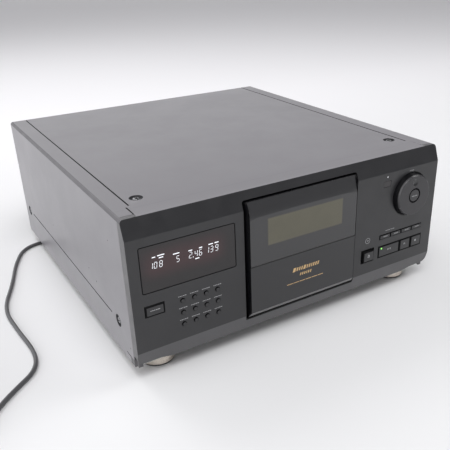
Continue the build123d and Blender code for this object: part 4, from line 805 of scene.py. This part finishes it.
class CHANGER_OT_cover(bpy.types.Operator):
    """Make the folded steel cover with its screws"""
    bl_idname = "changer.cover"
    bl_label = "Cover and screws"

    def execute(self, context):
        softened("cabinet_cover", "steel_cover", ["cover", "shut", "dish", "shoulder"],
                 context.scene.changer_sizes.sheet_edge, zone=self.zone, before=self.fold)
        bm = bmesh.new()
        for at, out in DISHES + REAR_SCREWS:
            self.screw(bm, Vector(at), out)
        place_mesh(bm, "cover_screw_set", ["screw", "recess"], "cabinet", ("cover_screws",))
        return {"FINISHED"}

    @staticmethod
    def zone(normal, at):
        """Darker on the rolled edges, dark in the pressed dishes, black in the grooves and slits: all painted shade.
        """
        x, y, z = at
        side = abs(x)
        if on_shoulder(normal, at):
            return "shoulder"
        for seat, out in DISHES:
            away = at - Vector(seat)
            height = away.dot(out)
            if ((away - out * height).length < DISH_REACH and -0.6 < height < DISH_DEPTH - 0.02
                    and abs(normal.dot(out)) < 0.999):
                return "dish"
        under_top, under_side = TOP_Z - z, HALF - side
        grooved = (0.01 < under_top < LINE_DEPTH and abs(side - GROOVE_X) < GROOVE_HALF and y > -189.6
                   or 0.01 < under_side < LINE_DEPTH and abs(z - SIDE_GROOVE_Z) < GROOVE_HALF)
        slit = y < SLIT_END_Y and (
            x < 0 and under_top < LINE_DEPTH and abs(side - SLIT_AT[0]) < SLIT_HALF and abs(normal.z) < 0.985
            or under_side < LINE_DEPTH and abs(z - SLIT_AT[1]) < SLIT_HALF and abs(normal.x) < 0.985)
        return "shut" if grooved or slit else "cover"

    @staticmethod
    def fold(bm):
        """Let the strip along the front edge of the top fall a little."""
        line = EDGE_Y + FALL_DEPTH
        near = [f for f in bm.faces if f.normal.z > 0.9 and f.calc_center_median().z > (TOP_Z - 0.1) * MM]
        bmesh.ops.bisect_plane(bm, geom=with_parts(near), dist=1e-6, plane_co=mm(0, line, TOP_Z), plane_no=BACK)
        for vert in bm.verts:
            x, y, z = vert.co / MM
            if z > TOP_Z - 0.05 and abs(x) < 196.4 and y < line:
                vert.co.z -= bpy.context.scene.changer_sizes.front_fall * (line - y) / FALL_DEPTH

    @staticmethod
    def screw(bm, at, out):
        """Pan head with a cross recess, and its shank."""
        along = out.orthogonal().normalized()
        across = out.cross(along)
        lathe(bm, ((0, -4.5), (1.5, -4.5), (1.5, 0.0), (3.8, 0.0), (3.8, 0.5), (3.6, 0.9), (3.1, 1.2), (2.4, 1.38)),
              at, out, along, 24)
        rim = unique(e for v in bm.verts if v.is_boundary for e in v.link_edges if e.is_boundary)
        arm, slim = 1.75, 0.45
        cross = ((arm, slim), (slim, slim), (slim, arm), (-slim, arm), (-slim, slim), (-arm, slim), (-arm, -slim),
                 (-slim, -slim), (-slim, -arm), (slim, -arm), (slim, -slim), (arm, -slim))
        verts = [bm.verts.new((at + along * a + across * b + out * 1.42) * MM) for a, b in cross]
        edges = [bm.edges.new((verts[i - 1], verts[i])) for i in range(len(verts))]
        split_ngons(bm, bmesh.ops.bridge_loops(bm, edges=rim + edges)["faces"])
        grown = bmesh.ops.extrude_edge_only(bm, edges=edges)["geom"]
        low = [v for v in grown if isinstance(v, bmesh.types.BMVert)]
        bmesh.ops.translate(bm, vec=out * (-0.9 * MM), verts=low)
        bmesh.ops.contextual_create(bm, geom=[e for e in grown if isinstance(e, bmesh.types.BMEdge) and e.is_boundary])
        # The cross recess gets the near black of painted shade.
        for vert in low:
            for face in vert.link_faces:
                face.material_index = 1


class CHANGER_OT_feet(bpy.types.Operator):
    """Make the four lacquered drum feet"""
    bl_idname = "changer.feet"
    bl_label = "Feet"

    def execute(self, context):
        drum = ((0, 2.6), (19.6, 2.6), (20.4, 2.7), (20.85, 3.1), (21.0, 3.8), (21.0, 12.6), (20.8, 13.4),
                (20.2, 14.0), (0, 14.0))
        pad = ((0, 0), (18.7, 0), (19.2, 0.2), (19.4, 0.7), (19.4, 2.7), (0, 2.7))
        for name, (x, y) in FEET.items():
            bm = bmesh.new()
            lathe(bm, drum, (x, y, 0), UP, RIGHT, 64)
            lathe(bm, pad, (x, y, 0), UP, RIGHT, 64, 1)
            place_mesh(bm, f"drum_foot_{name}", ["foot", "rubber"], "cabinet", (f"foot_{name}",))
        return {"FINISHED"}


# ---- front moulding and its windows ----
SEGMENTS = {                # corners of the seven bars on a grid one wide and two high
    "a": ((0, 2), (1, 2)), "b": ((1, 2), (1, 1)), "c": ((1, 1), (1, 0)), "d": ((0, 0), (1, 0)),
    "e": ((0, 1), (0, 0)), "f": ((0, 2), (0, 1)), "g": ((0, 1), (1, 1)),
}
LIT = {"0": "abcdef", "1": "bc", "2": "abged", "3": "abgcd", "4": "fgbc", "5": "afgcd", "6": "afgcde", "7": "abc",
       "8": "abcdefg", "9": "abcdfg"}
READOUT = {-191.7: "1", -186.9: "0", -180.9: "8", -161.9: "5", -147.4: "2", -140.9: "4", -135.7: "6", -127.5: "1",
           -122.4: "3", -116.3: "9"}
SHORT_BARS = (              # x from and to, z
    (-188.3, -184.5, 146.4), (-182.5, -174.6, 147.0), (-180.8, -176.0, 144.3), (-165.2, -158.0, 143.7),
    (-147.8, -143.3, 142.6), (-140.6, -135.7, 131.4), (-135.5, -131.6, 142.7), (-124.2, -118.7, 143.4),
    (-116.9, -112.0, 143.5),
)
DIGIT_FOOT = 133.9
DIGIT_Y = PANE_Y - 0.04
DIGIT_THICK = 0.03
EAR_Z = 20              # height that the right ear is trimmed to


class CHANGER_OT_front(bpy.types.Operator):
    """Make the front moulding, the display and the sensor"""
    bl_idname = "changer.front"
    bl_label = "Front moulding and display"

    def execute(self, context):
        softened("front_panel", "front_moulding", ["moulding", "moulding_side", "shut", "low_facet", "shoulder"],
                 context.scene.changer_sizes.edge, 2, 38, ahead_of(SEAM_Y - 0.2), self.zone,
                 self.ease_facets)
        self.display_pane()
        self.digits()
        softened("sensor_window", "sensor_pane", ["sensor"], 0.0003)
        bm = bmesh.new()
        lathe(bm, ((0, 12.8), (1.1, 12.8), (1.1, 0.2), (0.85, 0.02), (0, 0.0)), (128.4, FRONT_Y, 165.4), steps=20)
        place_mesh(bm, "status_lens", ["lens"], "cabinet", ("status_lamp",))
        return {"FINISHED"}

    @staticmethod
    def zone(normal, at):
        """Charcoal on the faces that look forward; lighter on the side and top returns and the ears as painted light,
        and on the low facet as painted reflection of the floor; darker on the rolled corner, and black inside and
        under the door, as painted shade.
        """
        x, y, z = abs(at.x), at.y, at.z
        # Black painted shade in the strip under the door and inside the openings.
        if STRIP[0] < z < STRIP[1] and x < STRIP[2] and normal.y < -0.8:
            return "shut"
        if y > SEAM_Y + 0.1:
            return "moulding_side" if z < 25 and x > 195 else "shut"
        if y > SEAM_Y - 0.3 and z < 24 and x > 196:
            return "moulding_side"
        if on_shoulder(normal, at) and normal.y > -0.5:
            return "shoulder"
        if (abs(normal.x) > 0.7 and x > HALF - 0.6) or (normal.z > 0.7 and z > TOP_Z - 0.8):
            return "moulding_side"
        if x > HALF - 3.6 and z > TOP_Z - 3.6 and normal.y > -0.5:
            return "moulding_side"
        # Lower facet: lighter copy of the charcoal, painted reflection of the floor.
        if z < LOWER_Z - 0.3 and normal.y < -0.8:
            return "low_facet"
        if normal.y < -0.5 or (z < 25 and normal.z < -0.4):
            return "moulding"
        if z < 32 and x > HALF - 9.5:
            return "moulding_side" if abs(normal.x) > 0.45 else "moulding"
        return "shut"

    @staticmethod
    def ease_facets(bm):
        """Trim the door's surround to the upper facet, and ease the two long lines of the face."""
        lean = (EDGE_Y - FRONT_Y) / (TOP_Z - UPPER_Z)
        for vert in bm.verts:
            x, y, z = vert.co / MM
            facet = FRONT_Y + (z - UPPER_Z) * lean
            if abs(x) < DOOR_HALF + 8 and 178.6 < z < 184 and FRONT_Y + 2 < y < facet - 0.01:
                vert.co.y = facet * MM
            if x > 196 and SEAM_Y - 0.3 < y < -203 and z < EAR_Z:
                vert.co.z = EAR_Z * MM
        merge(bm)
        for at, way in (((0, 0, STRIP[0]), UP), ((-STRIP[2], 0, 0), RIGHT), ((STRIP[2], 0, 0), RIGHT)):
            low = [f for f in bm.faces if f.normal.y < -0.8 and f.normal.z < -0.1
                   and f.calc_center_median().z < LOWER_Z * MM]
            bmesh.ops.bisect_plane(bm, geom=with_parts(low), dist=1e-6, plane_co=mm(*at), plane_no=way)

        def along(edge, height):
            return all(abs(v.co.y / MM - FRONT_Y) < 0.05 and abs(v.co.z / MM - height) < 0.05 for v in edge.verts)

        bevel(bm, [e for e in bm.edges if along(e, UPPER_Z) or along(e, LOWER_Z)], 0.7 * MM)

    @staticmethod
    def display_pane():
        """Smoked pane with black sides and a sunken black rim, painted shade of the gap round it."""
        bm = merged_copy("display_window")
        face = min((f for f in bm.faces if f.normal.y < -0.9), key=lambda f: f.calc_center_median().y)
        rim = bmesh.ops.inset_region(bm, faces=[face], thickness=0.9 * MM, use_even_offset=True)["faces"]
        for vert in {v for f in rim for v in f.verts} - set(face.verts):
            vert.co.y += 0.3 * MM
        for part in {*rim, *[f for f in bm.faces if f.normal.y > -0.9]}:
            part.material_index = 1
        bm.normal_update()
        max((f for f in bm.faces if f.normal.y > 0.9), key=lambda f: f.calc_area()).material_index = 0
        split_ngons(bm, bm.faces)
        place_mesh(bm, "display_pane", ["pane", "shut"], "cabinet", ("display_window",),
                   normals=False)

    def digits(self):
        """Lit digits and the short bars round them, on the pane's face."""
        bm = bmesh.new()
        for left, figure in READOUT.items():
            for bar in LIT[figure]:
                self.segment(bm, left, bar)
        for x0, x1, z in SHORT_BARS:
            rule(bm, ((x0 + x1) / 2, z), x1 - x0, 1.1, DIGIT_Y, DIGIT_THICK)
        rule(bm, (-142.7, 134.2), 0.9, 0.9, DIGIT_Y, DIGIT_THICK)
        place_mesh(bm, "lit_digits", ["digit"], "cabinet")

    @staticmethod
    def segment(bm, left, bar):
        """One pointed bar of a slanted seven-segment figure."""
        wide, high, half, gap, slant = 2.9, 3.35, 0.27, 0.2, 0.12
        start, end = [Vector((left + a * wide, DIGIT_FOOT + b * high)) for a, b in SEGMENTS[bar]]
        way = (end - start).normalized()
        side = Vector((-way.y, way.x)) * half
        start, end = start + way * gap, end - way * gap
        points = (start, start + way * half + side, end - way * half + side, end, end - way * half - side,
                  start + way * half - side)
        plate(bm, [(p.x + (p.y - DIGIT_FOOT) * slant, p.y) for p in points], DIGIT_Y, DIGIT_THICK)


# ---- keys ----
KEY_EDGES = {           # rounding of each kind's caps, in key edges
    "round": 0.75, "power": 4.0, "thin": 1.8, "play": 4.0, "pause": 4.0, "stop": 4.0, "open": 3.0}


class CHANGER_OT_keys(bpy.types.Operator):
    """Make the key caps, their marks and the green play light"""
    bl_idname = "changer.keys"
    bl_label = "Keys"

    def execute(self, context):
        for node in frame["nodes"]:
            kind, _, rest = node.partition("_")
            if kind in KEY_EDGES and rest.startswith("key"):
                # The caps' rounded edges and sides are black, painted shade of the gaps round the keys.
                softened(node, f"{node}_cap", ["moulding", "shut"],
                         context.scene.changer_sizes.key_edge * KEY_EDGES[kind], 2, 50, ahead_of(FRONT_Y - 0.2),
                         cap_zone("moulding", "shut"))
        self.marks()
        return {"FINISHED"}

    @staticmethod
    def mark(name, body, draw, finish="print"):
        bm = bmesh.new()
        draw(bm)
        place_mesh(bm, name, [finish], body)

    def marks(self):
        y = {kind: FRONT_Y - proud - PRINT for kind, proud in CAP_PROUD.items()}
        self.mark("power_mark", "power_key", lambda bm: legend(bm, (-190.8, 86.9), 11.0, 0.9, y["power"]))
        for number, x in enumerate((130.9, 149.5, 168.1, 186.7), 1):
            self.mark(f"thin_mark_{number}", f"thin_key_{number}",
                      lambda bm: legend(bm, (x + 0.8, 84.4), 6.6, 0.9, y["thin"]))
        self.mark("play_mark", "play_key",
                  lambda bm: (plate(bm, ((137.2, 62.7), (139.8, 64.1), (137.2, 65.5)), y["play"]),
                              rule(bm, (141.2, 64.1), 0.6, 2.6, y["play"]),
                              rule(bm, (142.5, 64.1), 0.6, 2.6, y["play"])))
        self.mark("pause_mark", "pause_key",
                  lambda bm: [rule(bm, (x, 64.1), 0.75, 2.4, y["play"]) for x in (166.6, 168.3)])
        self.mark("stop_mark", "stop_key", lambda bm: rule(bm, (187.3, 63.8), 2.5, 2.5, y["play"]))
        self.mark("open_mark", "open_key",
                  lambda bm: (plate(bm, ((100.8, 64.6), (104.8, 64.6), (102.8, 67.2)), y["open"]),
                              rule(bm, (102.8, 63.4), 4.0, 0.8, y["open"])))
        self.mark("play_light", "play_key",
                  lambda bm: lathe(bm, ((0, 0.3), (0.95, 0.3), (0.95, -0.1), (0.7, -0.22), (0, -0.28)),
                                   (126.1, FRONT_Y - 0.7, 68.0), steps=20), "green")


# ---- dial ----
KEY_REACH = 10          # radius that the enter key's hole and its edge lie in
RIM_REACH = 25          # radius from which the dial's face turns down
DIMPLE_UP = 17.6        # height of the finger dimple over the dial's middle


class CHANGER_OT_dial(bpy.types.Operator):
    """Make the jog dial and the enter key in its middle"""
    bl_idname = "changer.dial"
    bl_label = "Jog dial"

    def execute(self, context):
        sizes = context.scene.changer_sizes
        softened("jog_dial", "jog_dial_turned", ["dial", "skirt", "dial_rim", "dimple"],
                 sizes.dial_edge, 3, 30, self.on_rim, self.zone)
        # The enter key's rounded edge and sides are black, painted shade of the ring gap round it.
        softened("enter_key", "enter_cap", ["dial", "skirt"], sizes.key_edge * 2.4, 2, 50,
                 ahead_of(DIAL_FACE_Y + 1), cap_zone("dial", "skirt"))
        bm = bmesh.new()
        legend(bm, (DIAL_AT[0] + 0.4, DIAL_AT[1] - 0.6), 9.0, 0.9, DIAL_FACE_Y + 0.15)
        place_mesh(bm, "enter_mark", ["print"], "enter_key")
        return {"FINISHED"}

    @staticmethod
    def on_rim(edge):
        middle = (edge.verts[0].co + edge.verts[1].co) / 2 / MM
        reach = hypot(middle.x - DIAL_AT[0], middle.z - DIAL_AT[1])
        return middle.y < DIAL_FACE_Y + 0.1 and (reach > RIM_REACH or reach < KEY_REACH - 0.5)

    @staticmethod
    def zone(normal, at):
        """Black behind the face, and in a ring round the enter key as painted shade of its gap; a lighter chamfer on
        the rim, partly a painted highlight; a darker dimple, painted shade.
        """
        x, z = at.x - DIAL_AT[0], at.z - DIAL_AT[1]
        if at.y > DIAL_FACE_Y + 3 or hypot(x, z) < KEY_REACH:
            return "skirt"
        if hypot(x, z) > RIM_REACH:
            return "dial_rim" if -0.97 < normal.y < -0.3 else "skirt" if normal.y > -0.97 else "dial"
        return "dimple" if hypot(x, z - DIMPLE_UP) < 5 and normal.y > -0.999 else "dial"


# ---- door ----
SWEEP = 16.9            # height over which the window's top sweeps back
SWEEP_RADIUS = 24.05
SWEEP_DEPTH = 6.4
GOLD_ROWS = (           # left end, widths of the bars, height of the bars, z
    (-17.4, (3.6, 1.9, 1.9, 1.9, 3.2, 1.6, 1.9, 1.4, 1.9, 1.9, 1.9), 4.4, 81.6),
    (-7.4, (1.6, 1.6, 1.6, 1.2, 1.6, 1.6), 3.4, 73.9),
)


class CHANGER_OT_door(bpy.types.Operator):
    """Make the door's panel, its smoked window and the gold rules"""
    bl_idname = "changer.door"
    bl_label = "Door"

    def execute(self, context):
        softened("door_panel", "door_moulding", ["door", "skirt", "door_foot"],
                 context.scene.changer_sizes.door_edge, 2, 30, ahead_of(FRONT_Y + 0.2), self.zone)
        self.window()
        y = DOOR_FACE_Y - PRINT
        bm = bmesh.new()
        for left, bars, height, z in GOLD_ROWS:
            for wide in bars:
                rule(bm, (left + wide / 2, z), wide, height * (1.15 if wide > 3 else 1.0), y, lean=0.32)
                left += wide + 1.45
        for piece in range(6):
            rule(bm, (-21.9 + piece * 9.0, 64.4), 8.1, 0.8, y)
        place_mesh(bm, "gold_rules", ["gold"], "door")
        return {"FINISHED"}

    @staticmethod
    def zone(normal, at):
        """Black behind and on the sides; lighter on the slope at the foot, a painted reflection of the floor."""
        if at.y > FRONT_Y + 0.5 or abs(normal.x) > 0.6 or (at.z > 99 and normal.z > 0.3):
            return "skirt"
        return "door_foot" if at.z < 40 and normal.z < -0.35 and normal.y < -0.35 else "door"

    @staticmethod
    def depth(x, z):
        """How far the window's surface lies behind the flat of the door."""
        u = abs(x) / DOOR_HALF
        bend = DOOR_BEND - 0.3 - 1.3 * u ** 2 - 2.8 * u ** 14
        if z <= bend:
            return 0.0
        rise = (z - bend) * SWEEP / (DOOR_TOP - bend)
        arc = SWEEP_RADIUS - 0.02 - sqrt(SWEEP_RADIUS ** 2 - (rise - 0.56) ** 2)
        return min(SWEEP_DEPTH, max(0.0, arc) + 0.25 * rise * (1 - rise / SWEEP))

    def window(self):
        """Smoked piece: flat over the view, swept back along its top and falling at its corners."""
        bm = bmesh.new()
        half, low, knee, below = DOOR_HALF - 2.25, DOOR_SPLIT, 156.0, 0.2
        bmesh.ops.create_grid(bm, x_segments=72, y_segments=56, size=1.0)
        for vert in bm.verts:
            x, share = vert.co.x * half, (vert.co.y + 1) / 2
            if share < below:
                z = low + (knee - low) * share / below
            else:
                z = knee + (DOOR_TOP - knee) * (share - below) / (1 - below)
            vert.co = mm(x, DOOR_FACE_Y + self.depth(x, z), z)
        bmesh.ops.recalc_face_normals(bm, faces=bm.faces)
        if bm.faces[:][0].normal.y > 0:
            bmesh.ops.reverse_faces(bm, faces=bm.faces)
        bmesh.ops.solidify(bm, geom=bm.faces[:], thickness=2.3 * MM)
        bm.normal_update()
        bevel(bm, sharp_edges(bm, 50, lambda e: any(f.normal.y < -0.5 for f in e.link_faces)), 0.35 * MM)
        bm.normal_update()
        # Faces that don't look forward are black, painted shade of the gap round the window.
        for face in bm.faces:
            face.material_index = int(face.normal.y > -0.65)
        place_mesh(bm, "smoked_window", ["window", "skirt"], "door", ("door_window",))


# ---- printed marks on the face ----
class CHANGER_OT_marks(bpy.types.Operator):
    """Print plain grey marks beside the keys"""
    bl_idname = "changer.marks"
    bl_label = "Printed marks"

    def execute(self, context):
        y = FRONT_Y - PRINT
        bm = bmesh.new()
        for row in (1, 0, -1):
            for column in (-1.5, -0.5, 0.5, 1.5):
                x, z = ROUND_AT[0] + column * ROUND_PITCH[0], ROUND_AT[1] + row * ROUND_PITCH[1]
                legend(bm, (x, z + 5.6), 9.6, 0.8, y)
        legend(bm, (139.2, 91.9), 15.0, 0.8, y)
        legend(bm, (DIAL_AT[0], 166.0), 7.0, 0.8, y)
        ring(bm, (101.8, 85.4), 0.9, 1.3, y)
        ring(bm, (101.8, 85.4), 3.4, 3.9, y)
        place_mesh(bm, "face_marks", ["print"], "cabinet")
        return {"FINISHED"}


# ---- rear ----
class CHANGER_OT_rear(bpy.types.Operator):
    """Make the rear panel and the coloured insulators of its sockets"""
    bl_idname = "changer.rear"
    bl_label = "Rear panel"

    def execute(self, context):
        softened("rear_panel", "rear_sheet", ["rear"], context.scene.changer_sizes.sheet_edge, 1, 50)
        bm = bmesh.new()
        for index, z in enumerate((68.0, 54.0)):
            lathe(bm, ((4.25, 0.1), (4.75, 0.1), (4.75, 0.8), (4.25, 0.8), (4.25, 0.1)), (150, REAR_Y + 1, z),
                  steps=32, index=index)
        place_mesh(bm, "socket_insulators", ["white", "red"], "cabinet")
        return {"FINISHED"}


# ---- nodes that keep their CAD shape ----
NODE_FINISH = {
    "chassis_pan": "zinc", "display_module": "glass", "left_board": "board", "right_board": "board",
    "door_pinion": "white", "door_motor": "can", "carousel": "tray", "carousel_hub": "black", "table_pinion": "white",
    "table_motor": "can", "mechanism_frame": "black", "spindle_turntable": "black", "clamper": "white",
    "pickup_sled": "black", "loading_lever": "white", "main_board": "board", "jack_block": "black",
    "output_jacks": "nickel", "transformer": "iron",
}


class CHANGER_OT_inside(bpy.types.Operator):
    """Give the pieces that keep their CAD shape their finishes"""
    bl_idname = "changer.inside"
    bl_label = "Inside"

    def execute(self, context):
        for name, node in frame["nodes"].items():
            node.data.materials.clear()
            node.data.materials.append(MATERIALS[NODE_FINISH.get(name, "black")])
        return {"FINISHED"}


STEPS = (CHANGER_OT_finishes, CHANGER_OT_stage, CHANGER_OT_lead, CHANGER_OT_cover, CHANGER_OT_feet, CHANGER_OT_front,
         CHANGER_OT_keys, CHANGER_OT_dial, CHANGER_OT_door, CHANGER_OT_marks, CHANGER_OT_rear, CHANGER_OT_inside)


class CHANGER_PT_panel(bpy.types.Panel):
    """Lists the steps in the sidebar"""
    bl_label = "Disc Changer"
    bl_space_type = "VIEW_3D"
    bl_region_type = "UI"
    bl_category = "Disc Changer"

    def draw(self, context):
        for step in STEPS:
            self.layout.operator(step.bl_idname)


GROUPS = {"changer_view": ChangerView, "changer_colours": ChangerColours, "changer_sizes": ChangerSizes}


def register():
    for group in GROUPS.values():
        bpy.utils.register_class(group)
    for name, group in GROUPS.items():
        setattr(bpy.types.Scene, name, bpy.props.PointerProperty(type=group))
    for step in (*STEPS, CHANGER_PT_panel):
        bpy.utils.register_class(step)


def unregister():
    for step in reversed((*STEPS, CHANGER_PT_panel)):
        bpy.utils.unregister_class(step)
    for name, group in reversed(GROUPS.items()):
        delattr(bpy.types.Scene, name)
        bpy.utils.unregister_class(group)


def main():
    register()
    for step in STEPS:
        group, name = step.bl_idname.split(".")
        getattr(getattr(bpy.ops, group), name)()


if __name__ == "__main__":
    main()
